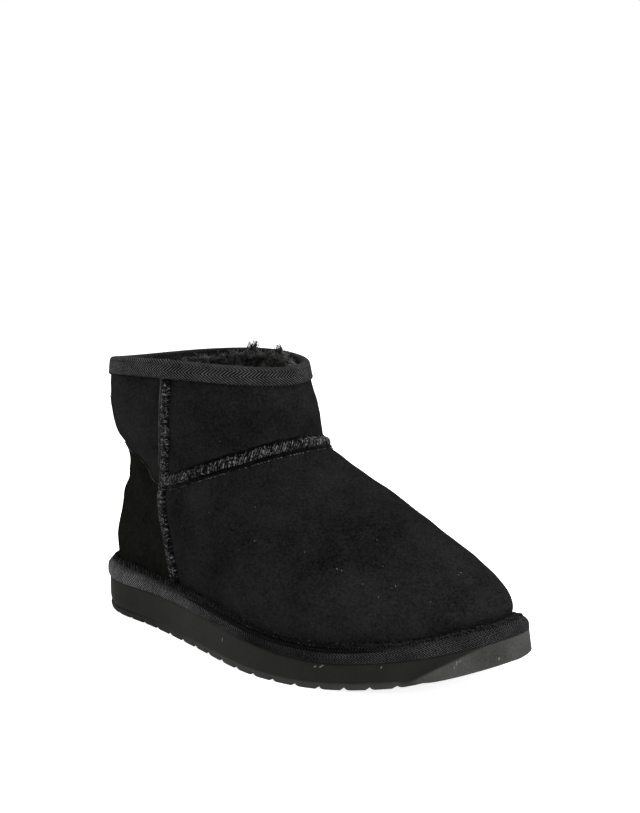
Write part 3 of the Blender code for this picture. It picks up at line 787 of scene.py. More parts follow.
def foamMaterial(name, look):
    material, tree, shader, coordinates = startMaterial(name, 0.72, 0.03)
    cloud = remap(tree, noise(tree, coordinates, 48, 4, 0.6), 0.3, 0.7)
    grain = remap(tree, noise(tree, coordinates, 1300, 3, 0.6), 0.3, 0.7)
    share = sums(tree, "MULTIPLY_ADD", cloud, 0.60, sums(tree, "MULTIPLY", grain, 0.40))
    colour = mixColour(tree, share, look["dark"], look["light"])
    # a darker tone towards the heel: painted shade on the wedge
    if "heel" in look:
        heel = look["heel"]
        forwards = remap(tree, placeOn(tree, coordinates), heel["from"], heel["to"])
        colour = mixColour(tree, forwards, mixColour(tree, share, heel["dark"], heel["light"]), colour)
    # painted light: a pale slanted facet over the toe
    if "cap" in look:
        cap = look["cap"]
        height = placeOn(tree, coordinates, "Z")
        leaning = sums(tree, "MULTIPLY_ADD", height, -cap["lean"], placeOn(tree, coordinates))
        edge = cap["start"] - cap["lean"] * cap["foot"]
        inside = remap(tree, leaning, edge - 0.0006, edge + 0.0014)
        colour = mixColour(tree, inside, colour, mixColour(tree, share, cap["colour"], look["light"]))
    # a few pale specks of dust
    specks = tree.nodes.new("ShaderNodeTexVoronoi")
    specks.inputs["Scale"].default_value = 60
    tree.links.new(coordinates.outputs["Object"], specks.inputs["Vector"])
    near = remap(tree, specks.outputs["Distance"], 0.030, 0.020)
    chosen = sums(tree, "GREATER_THAN", specks.outputs["Color"], 0.80)
    colour = mixColour(tree, sums(tree, "MULTIPLY", near, chosen), colour, grey(0.20))
    tree.links.new(colour, shader.inputs["Base Color"])
    dents = bump(tree, shader, cloud, 0.0004, 0.35)
    bump(tree, shader, grain, 0.00008, 0.6, dents)
    return material


blackSuede = suedeMaterial("blackSuede", suedeLook)
counterSuede = suedeMaterial("counterSuede", counterLook)
collarWeave = tapeMaterial("collarWeave", collarTapeLook)
soleWeave = tapeMaterial("soleWeave", soleTapeLook)
seamThread = threadMaterial("seamThread")
seamGround = threadMaterial("seamGround")
foldedEdge = threadMaterial("foldedEdge")
ropeThread = threadMaterial("ropeThread")
lintThread = threadMaterial("lintThread")
blackWool = woolMaterial("blackWool", woolLook)
wedgeFoam = foamMaterial("wedgeFoam", wedgeLook)
tornFoam = foamMaterial("tornFoam", tornFoamLook)
treadRubber = foamMaterial("treadRubber", treadLook)
print("materials made")


# Suede upper: the outside, over the rim and down the inside

upperSize = {"around": 400, "outsideRows": 150, "insideRows": 22, "rim": 0.984}


def makeUpper():
    angle = np.arange(upperSize["around"]) * 2 * math.pi / upperSize["around"]
    ups = np.linspace(0, upperSize["rim"], upperSize["outsideRows"])
    gridAngle, gridUp = np.meshgrid(angle, ups)
    outside = upperAt(gridAngle, gridUp)
    innerUps = np.linspace(upperSize["rim"], 0, upperSize["insideRows"])
    gridAngle, gridUp = np.meshgrid(angle, innerUps)
    normal = plainNormal(gridAngle, gridUp)
    level = (ease(gridUp / 0.08) * ease((1 - gridUp) / 0.04))[..., None]
    normal = unit(normal * np.concatenate([np.ones_like(level), np.ones_like(level), level], -1))
    inside = plainUpper(gridAngle, gridUp) - normal * shape["wall"]
    points = np.concatenate([outside, inside])
    faces = gridFaces(len(points), upperSize["around"], closedRows=True, closedColumns=True)
    return newPiece("suedeUpper", points, faces)


finishMesh(makeUpper(), blackSuede, ["upper"])


# degrees round, place in the loft, length, turn
lint = [
    (130, 0.28, 0.0010, 40), (131, 0.275, 0.0007, 100), (145, 0.29, 0.0008, 10), (143, 0.22, 0.0012, 70),
    (141.5, 0.215, 0.0007, 0), (136, 0.19, 0.0010, 95), (134, 0.23, 0.0006, 30), (172, 0.25, 0.0012, 20),
    (170, 0.245, 0.0007, 80), (50, 0.23, 0.0012, 85), (38, 0.86, 0.0014, 90), (110, 0.36, 0.0008, 50),
    (118, 0.47, 0.0007, 15), (124, 0.33, 0.0006, 120), (97, 0.44, 0.0008, 10), (152, 0.37, 0.0007, 60),
    (101, 0.80, 0.0008, 0), (126, 0.70, 0.0006, 40), (150, 0.17, 0.0007, 10), (226, 0.34, 0.0008, 30),
    (250, 0.26, 0.0009, 80), (300, 0.80, 0.0008, 10),
]


def makeLint():
    degrees, up, length, turn = np.array(lint).T
    points, normal, along, across = lineFrame(np.radians(degrees), up)
    points = upperAt(np.radians(degrees), up, 0.00012)
    level = unit(np.cross(normal, np.array([0.0, 0.0, 1.0])))
    upwards = np.cross(level, normal)
    turn = np.radians(turn)[:, None]
    half = (level * np.cos(turn) + upwards * np.sin(turn)) * length[:, None] / 2
    return threads("suedeLint", points - half, points + half, normal * 0.0002, 0.00017, 5, 5)


finishMesh(makeLint(), lintThread)
print("upper made")


# Heel counter: an overlay with a rolled top edge

counterSize = {
    "thickness": 0.0008, "edgeRoll": 0.0009, "bottom": 0.03, "underSeam": 0.0008,
    "foldDrop": 0.003, "tubeRadius": 0.00034, "columns": 181, "levels": 64,
}

def counterGrid():
    share = np.linspace(-1, 1, counterSize["columns"])
    side = np.where(share >= 0, 1.0, -1.0)
    top = spline(counterTopRows[:, 0], counterTopRows[:, 1], np.abs(share))
    low = np.full_like(share, counterSize["bottom"])
    v = np.linspace(0, 1, counterSize["levels"])[:, None]
    up = low[None] + (top - low)[None] * v
    edge = np.radians(spline(sideSeamRows[:, 0], sideSeamRows[:, 1], up))
    under = -counterSize["underSeam"]
    clear = np.stack([besideSideSeam(up[:, j], side[j], under) for j in range(len(share))], 1)
    angle = share[None] * (edge - clear)
    return angle, up


def makeCounter():
    angle, up = counterGrid()
    points = plainUpper(angle, up)
    rise = np.linalg.norm(np.diff(points, axis=0), axis=2)
    fromTop = np.concatenate([np.cumsum(rise[::-1], axis=0)[::-1], np.zeros((1, rise.shape[1]))])
    roll = counterSize["edgeRoll"]
    rounding = np.sqrt(np.clip(1 - (1 - np.clip(fromTop / roll, 0, 1)) ** 2, 0, 1))
    normal = plainNormal(angle, up)
    folded = reliefOf(points)
    outer = points + normal * (folded + counterSize["thickness"] * rounding - 0.0001)[..., None]
    inner = points + normal * (folded - 0.0006)[..., None]
    rows = np.concatenate([outer, inner[::-1]])
    return newPiece("counterPanel", rows, gridFaces(len(rows), rows.shape[1], closedRows=True))


finishMesh(makeCounter(), counterSuede, ["heel_counter"])


def makeCounterEdge():
    angle, up = counterGrid()
    up = up[-1] - counterSize["foldDrop"]
    points, normal, along, across = lineFrame(angle[-1], up, counterSize["thickness"] * 0.60)
    return tube("counterEdge", points, normal, counterSize["tubeRadius"], 8)


# the counter's folded top edge, paler than the suede as a painted highlight
finishMesh(makeCounterEdge(), foldedEdge)
print("counter made")


# Side seams: a welt, its folded rear edge and the overlock thread over it

sideSeamSize = {
    "width": 0.0057, "height": 0.0015, "pitch": 0.00086, "thread": 0.00022, "uneven": 0.30, "lift": 0.00008,
    "kept": 0.46, "stray": 0.5,
    "edge": 0.00042, "edgeThin": 0.35,  # radius of the folded edge, and its share at the lower end
    "from": 0.045, "to": 0.945, "edgeFrom": 0.40,
    "lowFrom": 0.56, "lowWider": 0.45, "lowHigher": 0.15, "lowTurn": 0.0125,  # below the instep seam
}

# from and to across the seam, slant in pitches, lift in millimetres
sideSeamThreads = [
    (-1.02, -0.20, 1.3, 0.10), (-1.0, -0.35, -0.9, 0.14), (-0.70, 0.15, 1.6, 0.16),
    (-0.55, 0.20, -1.8, 0.14), (-0.20, 0.60, 1.9, 0.14), (-0.10, 0.70, -1.4, 0.18),
    (0.25, 1.00, 0.8, 0.14), (0.30, 1.10, -1.3, 0.18), (0.45, 1.14, 1.2, 0.14),
]

# place across a welt, share of its height
roundProfile = [
    (-1.05, -0.5), (-1.0, 0.1), (-0.9, 0.55), (-0.65, 0.9), (-0.3, 1.0), (0.1, 1.0),
    (0.45, 0.92), (0.75, 0.65), (0.95, 0.3), (1.02, -0.1), (1.05, -0.5),
]


def weltGrid(angle, up, width, height, profile, seed):
    points, normal, along, across = lineFrame(angle, up)
    wave = 1 + 0.05 * lumps(points, 0.009, seed)
    rows = []
    width = np.broadcast_to(width, len(points)) * wave
    height = np.broadcast_to(height, len(points))
    for side, rise in profile:
        rows.append(points + across * (side * width / 2)[:, None] + normal * (rise * height)[:, None])
    return np.array(rows)


def makeWelt(name, angle, up, width, height, profile, seed, node):
    rows = weltGrid(angle, up, width, height, profile, seed)
    welt = newPiece(name, rows, gridFaces(len(rows), rows.shape[1], closedRows=True))
    # the welt's near-black colour is painted shade between the threads
    finishMesh(welt, seamGround, [node])


# strands over a seam, a few of them left out and none quite in its place
def seamStrands(table, size, profile, line, width, height, rng):
    count = len(line[0])
    width = np.broadcast_to(width, count)
    height = np.broadcast_to(height, count)
    made = []
    for first, last, slant, rise, weight, share, stray in table:
        kept = rng.uniform(size=count) < share
        jitter = rng.uniform(-stray, stray, count) * size["pitch"]
        radius = size["thread"] * weight * rng.uniform(1 - size["uneven"], 1 + size["uneven"], count)
        chosen = tuple(part[kept] for part in line)
        made.append(weltThreads(
            "strand", chosen, width[kept], height[kept], profile, first, last,
            slant * size["pitch"], jitter[kept], size["lift"] + rise * 0.001, radius[kept]))
    return made


def makeSideSeam(label, side, node):
    size = sideSeamSize
    angle, up = sideSeamLine(side, 170, size["from"], size["to"])
    lower = ease((size["lowFrom"] - up) / 0.10)
    width = size["width"] * (1 + size["lowWider"] * lower)
    height = size["height"] * (1 + size["lowHigher"] * lower)
    angle = angle - side * size["lowTurn"] * lower
    makeWelt(label + "SeamWelt", angle, up, width, height, roundProfile, 21, node)
    # the rear panel's folded edge, paler than the suede as a painted highlight
    edgeAngle, edgeUp = sideSeamLine(side, 90, size["edgeFrom"], size["to"])
    points, normal, along, across = lineFrame(edgeAngle, edgeUp)
    edgeLine = points + across * (side * size["width"] * 0.53) + normal * (size["height"] * 0.80)
    fade = size["edgeThin"] + (1 - size["edgeThin"]) * ease((edgeUp - size["edgeFrom"]) / 0.12)
    finishMesh(tube(label + "SeamEdge", edgeLine, normal, size["edge"] * fade, 8), foldedEdge)
    # overlock thread, with some loops left out
    placeAngle, placeUp = spaced(angle, up, size["pitch"])
    line = lineFrame(placeAngle, placeUp)
    width = np.interp(placeUp, up, width)
    height = np.interp(placeUp, up, height)
    rng = np.random.default_rng(31)
    table = [(*row, 1, size["kept"], size["stray"]) for row in sideSeamThreads]
    loops = seamStrands(table, size, roundProfile, line, width, height, rng)
    finishMesh(joinPieces(label + "SeamThread", loops), seamThread)


makeSideSeam("outer", 1, "outer_side_seam")
makeSideSeam("inner", -1, "inner_side_seam")
print("side seams made")


# Instep seam: a thick braid with a dark fringe above it, a groove and a thin row of stitches below

instepSize = {
    "width": 0.0092, "height": 0.0024, "pitch": 0.00145, "thread": 0.00034, "uneven": 0.25, "lift": 0.00010,
    "stitchPitch": 0.00170, "stitchDrop": 0.0044, "stitchHalf": 0.0006, "stitchLean": 0.0003,
    "stitchRadius": 0.00024,
}

instepProfile = [
    (-1.05, -0.5), (-1.0, -0.05), (-0.92, 0.12), (-0.80, 0.12), (-0.71, -0.12), (-0.54, -0.12), (-0.44, 0.40),
    (-0.20, 0.85), (0.10, 1.0), (0.38, 0.85), (0.62, 0.45), (0.84, 0.10), (1.0, -0.10), (1.05, -0.5),
]

# the same, then thickness, share kept and stray in pitches
instepBraid = [
    (-0.48, 0.22, 1.5, 0.20, 1.0, 0.95, 0.12), (0.02, 0.66, 1.5, 0.16, 0.9, 0.90, 0.15),
    (-0.30, 0.55, 2.0, 0.24, 0.8, 0.45, 0.50), (-0.48, 0.00, -0.8, 0.10, 0.7, 0.40, 0.50),
    (0.20, 0.80, -0.9, 0.10, 0.6, 0.35, 0.50), (0.38, 1.04, 1.4, 0.22, 0.5, 0.35, 0.50),
]
instepFringe = [(0.50, 1.14, 1.0, 0.06, 0.7, 0.85, 0.50), (0.42, 1.22, -0.6, 0.10, 0.6, 0.60, 0.50)]

# place across the seam, lift, radius, seed of the two dark tubes, painted shade in the groove and along the
# braid's upper edge
instepShadeLines = [(-0.66, 0.0004, 0.00085, 47), (0.92, 0.0, 0.00060, 48)]


def besideLine(angle, up, distance):
    points, normal, along, across = lineFrame(angle, up)
    lower = lineFrame(angle, up - 0.01)[0]
    step = np.abs(((lower - points) * across).sum(1))
    return lineFrame(angle, up + 0.01 * distance / step)


def makeInstepSeam():
    size = instepSize
    angle, up = instepSeamLine(240)
    makeWelt("instepWelt", angle, up, size["width"], size["height"], instepProfile, 41, "instep_seam")
    rng = np.random.default_rng(43)
    placeAngle, placeUp = spaced(angle, up, size["pitch"])
    line = lineFrame(placeAngle, placeUp)

    def strandsOf(table):
        return seamStrands(table, size, instepProfile, line, size["width"], size["height"], rng)

    finishMesh(joinPieces("instepBraid", strandsOf(instepBraid)), seamThread)
    # the dark fringe strands, then two dark tubes of painted shade, in the groove and along the braid's upper
    # edge
    folds = strandsOf(instepFringe)
    for side, rise, radius, seed in instepShadeLines:
        points, normal, along, across = besideLine(angle, up, side * size["width"] / 2)
        uneven = radius * (1 + 0.3 * lumps(points, 0.004, seed))
        folds.append(tube("shadeLine", points + normal * rise, normal, uneven, 8))
    finishMesh(joinPieces("instepShadeLines", folds), seamGround)
    # the thin row of stitches
    placeAngle, placeUp = spaced(angle, up, size["stitchPitch"])
    points, normal, along, across = besideLine(placeAngle, placeUp, -size["stitchDrop"])
    middle = points + normal * 0.00015
    start = middle + across * size["stitchLean"] - along * size["stitchHalf"]
    end = middle - across * size["stitchLean"] + along * size["stitchHalf"]
    whips = threads("instepStitches", start, end, normal * 0.0003, size["stitchRadius"])
    finishMesh(whips, seamThread)


makeInstepSeam()
print("instep seam made")


# Collar tape, folded over the rim

collarSize = {
    "outerDrop": 0.0094, "innerDrop": 0.0080, "thickness": 0.0013, "around": 460,
    "seamBulge": 0.60, "seamBulgeReach": 0.030,  # where the tape passes over a side seam
    "stitchPitch": 0.0016, "stitchRadius": 0.00019,
}


def upFromTop(angle, distance):
    ups = np.linspace(0.85, 1, 61)
    line = plainUpper(angle[:, None], ups[None])
    steps = np.linalg.norm(np.diff(line, axis=1), axis=2)
    below = np.cumsum(steps[:, ::-1], axis=1)[:, ::-1]
    run = np.concatenate([below, np.zeros((len(angle), 1))], 1)
    return np.array([np.interp(-distance, -row, ups) for row in run])


def makeCollarTape():
    size = collarSize
    angle = np.arange(size["around"]) * 2 * math.pi / size["around"]
    level = plainNormal(angle, np.ones(len(angle)))
    level[:, 2] = 0
    level = unit(level)
    thickness = size["thickness"]
    low = upFromTop(angle, thickness + 0.0009)
    rim = plainUpper(angle, low)
    waver = 1 + 0.04 * lumps(rim, 0.022, 51)
    outerSeam = sideSeamAngle(np.array([0.96]), 1)[0]
    innerSeam = sideSeamAngle(np.array([0.96]), -1)[0] + 2 * math.pi
    for seam in (outerSeam, innerSeam):
        waver += size["seamBulge"] * np.exp(-(((angle - seam) / size["seamBulgeReach"]) ** 2))
        waver += 0.18 * ease((angle - seam) / 0.02) * np.exp(-np.abs(angle - seam) / 0.5)
    near = 0.0001
    far = -shape["wall"] - 0.0001
    rings = []
    crossRun = []

    def leg(distance, out, run):
        up = upFromTop(angle, distance)
        away = np.broadcast_to(out, angle.shape)[:, None]
        rings.append(plainUpper(angle, up) + plainNormal(angle, up) * away)
        crossRun.append(run)

    thick = thickness * waver
    drop = size["outerDrop"]
    leg(drop, near + 0.25 * thick, 0.0)
    leg(drop * 0.985, near + 0.75 * thick, 0.0004)
    for share in np.linspace(0.94, 0.26, 9):
        puff = 1.0 + 0.14 * math.sin(math.pi * share)
        leg(drop * share, near + puff * thick, drop * (1 - share) + 0.0004)
    middle = (near + far) / 2
    halfSpan = (near - far) / 2 + thickness
    for turn in np.radians(np.linspace(8, 172, 15)):
        out = middle + halfSpan * math.copysign(abs(math.cos(turn)) ** 0.8, math.cos(turn))
        rise = (thickness + 0.0010) * math.sin(turn) ** 0.7 * (1 + 0.3 * (waver - 1))
        rings.append(rim + level * out + np.stack([rise * 0, rise * 0, rise], 1))
        crossRun.append(drop + turn * halfSpan * 0.8)
    for share in np.linspace(0.25, 1.0, 5):
        run = drop + math.pi * halfSpan * 0.8 + size["innerDrop"] * share
        leg(size["innerDrop"] * share, far - thick, run)
    leg(size["innerDrop"], far + 0.0003, crossRun[-1] + 0.001)
    rings.append(rim + level * (far + 0.0003))
    crossRun.append(crossRun[-1] + 0.004)
    rings.append(rim + level * (near - 0.0003))
    crossRun.append(crossRun[-1] + 0.002)
    leg(drop, near - 0.0003, crossRun[-1] + 0.004)
    rings = np.array(rings)
    rings = np.concatenate([rings, rings[:, :1]], 1)
    return makeBand("collarTape", rings, runOf(rings[5]), crossRun)


finishMesh(makeCollarTape(), collarWeave, ["collar_binding"])


def makeCollarStitches():
    size = collarSize
    angle = np.linspace(0, 2 * math.pi, 400)
    up = upFromTop(angle, size["outerDrop"])
    placeAngle, placeUp = spaced(angle, up, size["stitchPitch"])
    points, normal, along, across = lineFrame(placeAngle, placeUp)
    rng = np.random.default_rng(53)
    start = points + across * 0.0008 + normal * 0.0014
    end = points - across * rng.uniform(-0.0002, 0.0006, len(points))[:, None] + normal * 0.0003
    return threads("collarStitches", start, end, normal * 0.0003, size["stitchRadius"])


finishMesh(makeCollarStitches(), ropeThread)
print("collar made")


# Sole tape: a padded roll round the foot of the upper, a groove, and a sewn ridge above it

soleTapeSize = {
    "bulge": 0.0014, "heelBulge": 0.0009, "heelTuck": 0.0014, "around": 640,
    "grooveFrom": 0.28, "grooveOver": 0.24, "tipFrom": 0.78, "tipOver": 0.16,  # shares of the boot's length
    "whipPitch": 0.00270, "whipRadius": 0.00046, "whipFade": 0.00032,
    # radius of the dark tube of painted shade in the groove
    "tubeRadius": 0.00110,
}


def plainEdge(angle):
    share = (1 - np.cos(angle)) / 2
    x = edgeBack + (edgeFront - edgeBack) * share
    return np.stack([x, np.interp(np.mod(angle, 2 * math.pi), edgeAngle, edgeY)], -1)


def edgeOutwards(angle):
    along = plainEdge(angle + 0.02) - plainEdge(angle - 0.02)
    return unit(np.stack([along[:, 1], -along[:, 0]], -1))


def edgePoints(angle):
    edge = plainEdge(angle)
    tuck = soleTapeSize["heelTuck"] * ease((0.16 - edge[:, 0] / shape["soleLength"]) / 0.14)
    return edge - edgeOutwards(angle) * tuck[:, None]


def upFromSole(angle, distance):
    ups = np.linspace(0, 0.2, 41)
    line = plainUpper(angle[:, None], ups[None])
    steps = np.linalg.norm(np.diff(line, axis=1), axis=2)
    run = np.concatenate([np.zeros((len(angle), 1)), np.cumsum(steps, axis=1)], 1)
    return np.array([np.interp(each, row, ups) for each, row in zip(distance, run)])


# share of the length, height of the sole tape
tapeHeightRows = np.array([
    (0.00, 0.0104), (0.12, 0.0104), (0.19, 0.0089), (0.26, 0.0077), (0.34, 0.0067), (0.45, 0.0060),
    (0.58, 0.0060), (0.68, 0.0067), (0.78, 0.0074), (0.88, 0.0071), (1.00, 0.0064),
])


def bindingHeight(x):
    return spline(tapeHeightRows[:, 0], tapeHeightRows[:, 1], np.clip(x / shape["soleLength"], 0, 1))


# across the tape: part of the bulge outwards, inset in metres, share of the height.
# In front the tape has a roll, a groove and a ridge; at the heel and at the tip it is one roll.
tapeFoot = [(-0.2, 0.0006, -0.01), (0.2, 0.0, 0.00), (0.62, 0.0, 0.06), (0.88, 0.0, 0.14), (1.0, 0.0, 0.25)]
frontTapeProfile = np.array(tapeFoot + [
    (0.97, 0.0, 0.36), (0.70, 0.0002, 0.47), (0.15, 0.0008, 0.55), (0.0, 0.0022, 0.58), (0.0, 0.0038, 0.54),
    (0.0, 0.0043, 0.66), (0.0, 0.0046, 0.82), (0.0, 0.0051, 0.94), (0.0, 0.0058, 1.00), (0.0, 0.0066, 1.01),
    (0.0, 0.0074, 0.97),
])
heelTapeProfile = np.array(tapeFoot + [
    (1.0, 0.0, 0.38), (0.90, 0.0, 0.52), (0.65, 0.0, 0.64), (0.30, 0.0004, 0.74), (0.0, 0.0010, 0.82),
    (0.0, 0.0018, 0.89), (0.0, 0.0028, 0.945), (0.0, 0.0039, 0.985), (0.0, 0.0051, 1.0), (0.0, 0.0063, 0.99),
    (0.0, 0.0073, 0.955),
])
toeTapeProfile = np.array(tapeFoot + [
    (1.0, 0.0001, 0.36), (0.90, 0.0003, 0.47), (0.70, 0.0007, 0.58), (0.40, 0.0012, 0.68),
    (0.10, 0.0019, 0.77), (0.0, 0.0027, 0.85), (0.0, 0.0036, 0.915), (0.0, 0.0046, 0.965),
    (0.0, 0.0057, 0.995), (0.0, 0.0066, 1.0), (0.0, 0.0074, 0.965),
])


def soleTapeRings(angle):
    edge = edgePoints(angle)
    outwards = edgeOutwards(angle)
    base = soleTop(edge[:, 0])
    height = bindingHeight(edge[:, 0])
    share = edge[:, 0] / shape["soleLength"]
    size = soleTapeSize
    bulge = size["bulge"] + (size["heelBulge"] - size["bulge"]) * ease((0.30 - share) / 0.25)
    bulge = bulge * (1 - 0.85 * ease((share - 0.80) / 0.18))
    grooved = ease((share - size["grooveFrom"]) / size["grooveOver"])
    tip = ease((share - size["tipFrom"]) / size["tipOver"])
    rings = []
    for front, heel, toe in zip(frontTapeProfile, heelTapeProfile, toeTapeProfile):
        row = heel[:, None] + (front - heel)[:, None] * grooved[None]
        row = row + (toe[:, None] - row) * tip[None]
        plan = edge + outwards * (row[0] * bulge - row[1])[:, None]
        rings.append(np.column_stack([plan, base + row[2] * height]))
    up = upFromSole(angle, 0.93 * height)
    rings.append(plainUpper(angle, up) + plainNormal(angle, up) * 0.0003)
    rings.append(plainUpper(angle, up - 0.01) - plainNormal(angle, up) * 0.0012)
    low = np.full(len(angle), 0.01)
    rings.append(plainUpper(angle, low) - plainNormal(angle, low) * 0.0012)
    rings = np.array(rings)
    steps = np.linalg.norm(np.diff(rings, axis=0), axis=2).mean(1)
    return rings, np.concatenate([[0], np.cumsum(steps)])


def makeSoleTape():
    angle = np.linspace(0, 2 * math.pi, soleTapeSize["around"] + 1)
    rings, runs = soleTapeRings(angle)
    runAlong = runOf(rings[4])
    outwards = edgeOutwards(angle)
    scallop = 0.00014 * np.sin(runAlong * 2 * math.pi / soleTapeSize["whipPitch"])
    waver = 0.00016 * lumps(rings[4], 0.012, 61) + 0.00016 * lumps(rings[4], 0.035, 62)
    weights = [0, 0.2, 0.6, 1, 1, 1, 1, 0.8, 0.5, 0.4, 0.4, 0.4, 0.4, 0.3, 0.2, 0, 0, 0, 0]
    for index, weight in enumerate(weights):
        push = waver * weight
        if 9 < index < 16:
            push = push + scallop
        rings[index, :, :2] += outwards * np.broadcast_to(push, angle.shape)[:, None]
    rings[:, -1] = rings[:, 0]
    return makeBand("soleTape", rings, runAlong, runs)


finishMesh(makeSoleTape(), soleWeave, ["sole_binding"])


# ring of the tape, pitch and radius of the two fine rows: in the groove and on top of the ridge
soleRows = [(11, 0.0020, 0.00028), (14, 0.0024, 0.00034)]


def makeSoleWhips(fine, rings):
    size = soleTapeSize
    run = runOf(rings[13])
    count = int(run[-1] / size["whipPitch"])
    rng = np.random.default_rng(63)
    at = (np.arange(count) + 0.5 + rng.uniform(-0.12, 0.12, count)) * run[-1] / count
    centre = []
    for step in range(7):
        lean = size["whipPitch"] * (2.0 - 4.0 * step / 6)
        angle = np.interp(np.mod(at + lean, run[-1]), run, fine)
        place = soleTapeRings(angle)[0][10 + step]
        out = np.column_stack([edgeOutwards(angle) * 0.5, np.full(count, 0.85)])
        centre.append(place + out * 0.00012)
    centre = np.array(centre).transpose(1, 0, 2)
    up = np.column_stack([edgeOutwards(np.interp(at, run, fine)) * 0.5, np.full(count, 0.85)])
    share = centre[:, 3, 0] / shape["soleLength"]
    fade = size["whipFade"] * ease((share - size["grooveFrom"]) / 0.16)
    radius = (size["whipRadius"] - fade) * rng.uniform(0.8, 1.2, count)
    whips = strands("soleWhips", centre, up[:, None] + np.zeros_like(centre), radius)
    finishMesh(whips, ropeThread)


def makeSoleRow(fine, line, pitch, radius):
    run = runOf(line)
    count = int(run[-1] / pitch)
    at = (np.arange(count) + 0.5) * run[-1] / count
    start = np.stack([np.interp(at - pitch * 0.32, run, line[:, k]) for k in range(3)], 1)
    end = np.stack([np.interp(at + pitch * 0.32, run, line[:, k]) for k in range(3)], 1)
    angle = np.interp(at, run, fine)
    out = np.column_stack([edgeOutwards(angle) * 0.7, np.full(count, 0.7)])
    return threads("row", start + out * 0.0002, end + out * 0.0002, out * 0.00025, radius)


# painted shade: a dark tube in the groove between the roll and the ridge, along the sides only
def makeSoleGrooveShade():
    angle = np.radians(np.linspace(62, 298, 700))
    rings = soleTapeRings(angle)[0]
    shadeLine = (rings[8] + rings[9]) / 2 + np.array([0, 0, 0.00015])
    outwards = np.column_stack([edgeOutwards(angle) * 0.7, np.full(len(angle), 0.7)])
    share = shadeLine[:, 0] / shape["soleLength"]
    present = ease((share - 0.33) / 0.12) * (1 - ease((share - 0.76) / 0.10))
    radius = soleTapeSize["tubeRadius"] * present + 0.00002
    finishMesh(tube("soleGrooveShade", shadeLine, outwards, radius, 8), seamGround)


def makeSoleStitches():
    fine = np.linspace(0, 2 * math.pi, 2001)
    rings = soleTapeRings(fine)[0]
    makeSoleWhips(fine, rings)
    rows = [makeSoleRow(fine, rings[ring], pitch, radius) for ring, pitch, radius in soleRows]
    finishMesh(joinPieces("soleStitches", rows), ropeThread)
    makeSoleGrooveShade()


makeSoleStitches()
print("sole tape made")


# Foam wedge

wedgeSize = {
    "heelRounding": 0.0016, "bottomRounding": 0.0010, "topRounding": 0.0006,
    "flare": 0.0015, "flareFrom": 0.865, "flareLean": 0.055, "toeLip": 0.0026, "tipRise": 0.0005,
    "around": 480,
}


def toeFlare(share, up):
    onset = wedgeSize["flareFrom"] + wedgeSize["flareLean"] * up
    return wedgeSize["flare"] * ease((share - onset) / 0.03) * (1 - up)


def wedgeBottom(x, overlap=0.0):
    low = floorHeight(x) + shape["treadThickness"] - overlap
    return low - wedgeSize["toeLip"] * ease((x / shape["soleLength"] - 0.85) / 0.07)


def makeWedge():
    angle = np.arange(wedgeSize["around"]) * 2 * math.pi / wedgeSize["around"]
    edge = edgePoints(angle)
    outwards = edgeOutwards(angle)
    share = edge[:, 0] / shape["soleLength"]
    roundHeel = ease((0.38 - share) / 0.34)
    high = soleTop(edge[:, 0])
    rings = []
    heights = np.concatenate([[0.0, 0.015, 0.05], np.linspace(0.10, 0.94, 13), [0.98, 1.0]])
    for up in heights:
        corner = max(0.0, 1 - up / 0.10)
        heelCorner = max(0.0, 1 - up / 0.36)
        inset = wedgeSize["bottomRounding"] * corner ** 2 * (1 - roundHeel)
        inset = inset + wedgeSize["heelRounding"] * roundHeel * heelCorner ** 2
        inset = inset + wedgeSize["topRounding"] * max(0.0, (up - 0.94) / 0.06) ** 2
        plan = edge + outwards * (toeFlare(share, up) - inset)[:, None]
        swell = 0.00015 * lumps(np.column_stack([plan, high * 0 + up * 0.01]), 0.05, 71)
        plan = plan + outwards * (swell * math.sin(math.pi * up))[:, None]
        low = wedgeBottom(plan[:, 0], 0.0002)
        low = low + wedgeSize["tipRise"] * ease((plan[:, 0] / shape["soleLength"] - 0.92) / 0.07)
        rings.append(np.column_stack([plan, low + (high - low) * up]))
    return cappedPiece("foamWedge", np.array(rings), stripEnds)


finishMesh(makeWedge(), wedgeFoam, ["midsole"])


# degrees round, share of the wall's height, length, turn, half width
wallScuffs = [
    (119, 0.83, 0.0026, 10, 0.00026), (117.5, 0.77, 0.0014, -15, 0.00022), (91, 0.60, 0.0018, 75, 0.00018),
    (153, 0.54, 0.0028, 62, 0.00026), (154, 0.62, 0.0020, 15, 0.00022), (152.4, 0.40, 0.0016, 105, 0.00020),
    (168, 0.34, 0.0012, 30, 0.00026), (133, 0.78, 0.0010, 0, 0.00018),
]


def makeScuffs():
    marks = []
    for degrees, up, length, turn, width in wallScuffs:
        step = np.linspace(-0.5, 0.5, 7)
        angle = math.radians(degrees) + step * length * math.cos(math.radians(turn)) / 0.120
        edge = edgePoints(angle)
        outwards = edgeOutwards(angle)
        low = wedgeBottom(edge[:, 0])
        height = low + (soleTop(edge[:, 0]) - low) * up + step * length * math.sin(math.radians(turn))
        height = height + 0.0004 * np.sin(step * 5)
        flare = toeFlare(edge[:, 0] / shape["soleLength"], up)
        centre = np.column_stack([edge + outwards * (flare + 0.00005)[:, None], height])
        taper = width * (1 - (2 * step) ** 4) + 0.00003
        marks.append(tube("mark", centre, np.column_stack([outwards, step * 0]), taper, 6))
    return joinPieces("wallScuffs", marks)


finishMesh(makeScuffs(), tornFoam)


# Rubber tread with its wavy grooves

treadSize = {
    "inset": 0.0008, "toeInset": 0.0105, "heelInset": 0.0016, "heelRound": 0.0027,
    "grooveDepth": 0.0015, "grooveWidth": 0.0030, "groovePitch": 0.0125, "heelShallow": 0.55,
    "wave": 0.0024, "waveLength": 0.052, "across": 40,
}

# side of a groove, step from that side, share of the depth
grooveProfile = [
    (-1, -0.0002, 0), (-1, 0.0, 0.12), (-1, 0.0005, 0.85), (-1, 0.0009, 1.0),
    (1, -0.0012, 0.9), (1, -0.0004, 0.35), (1, 0.0004, 0.1), (1, 0.0014, 0),
]


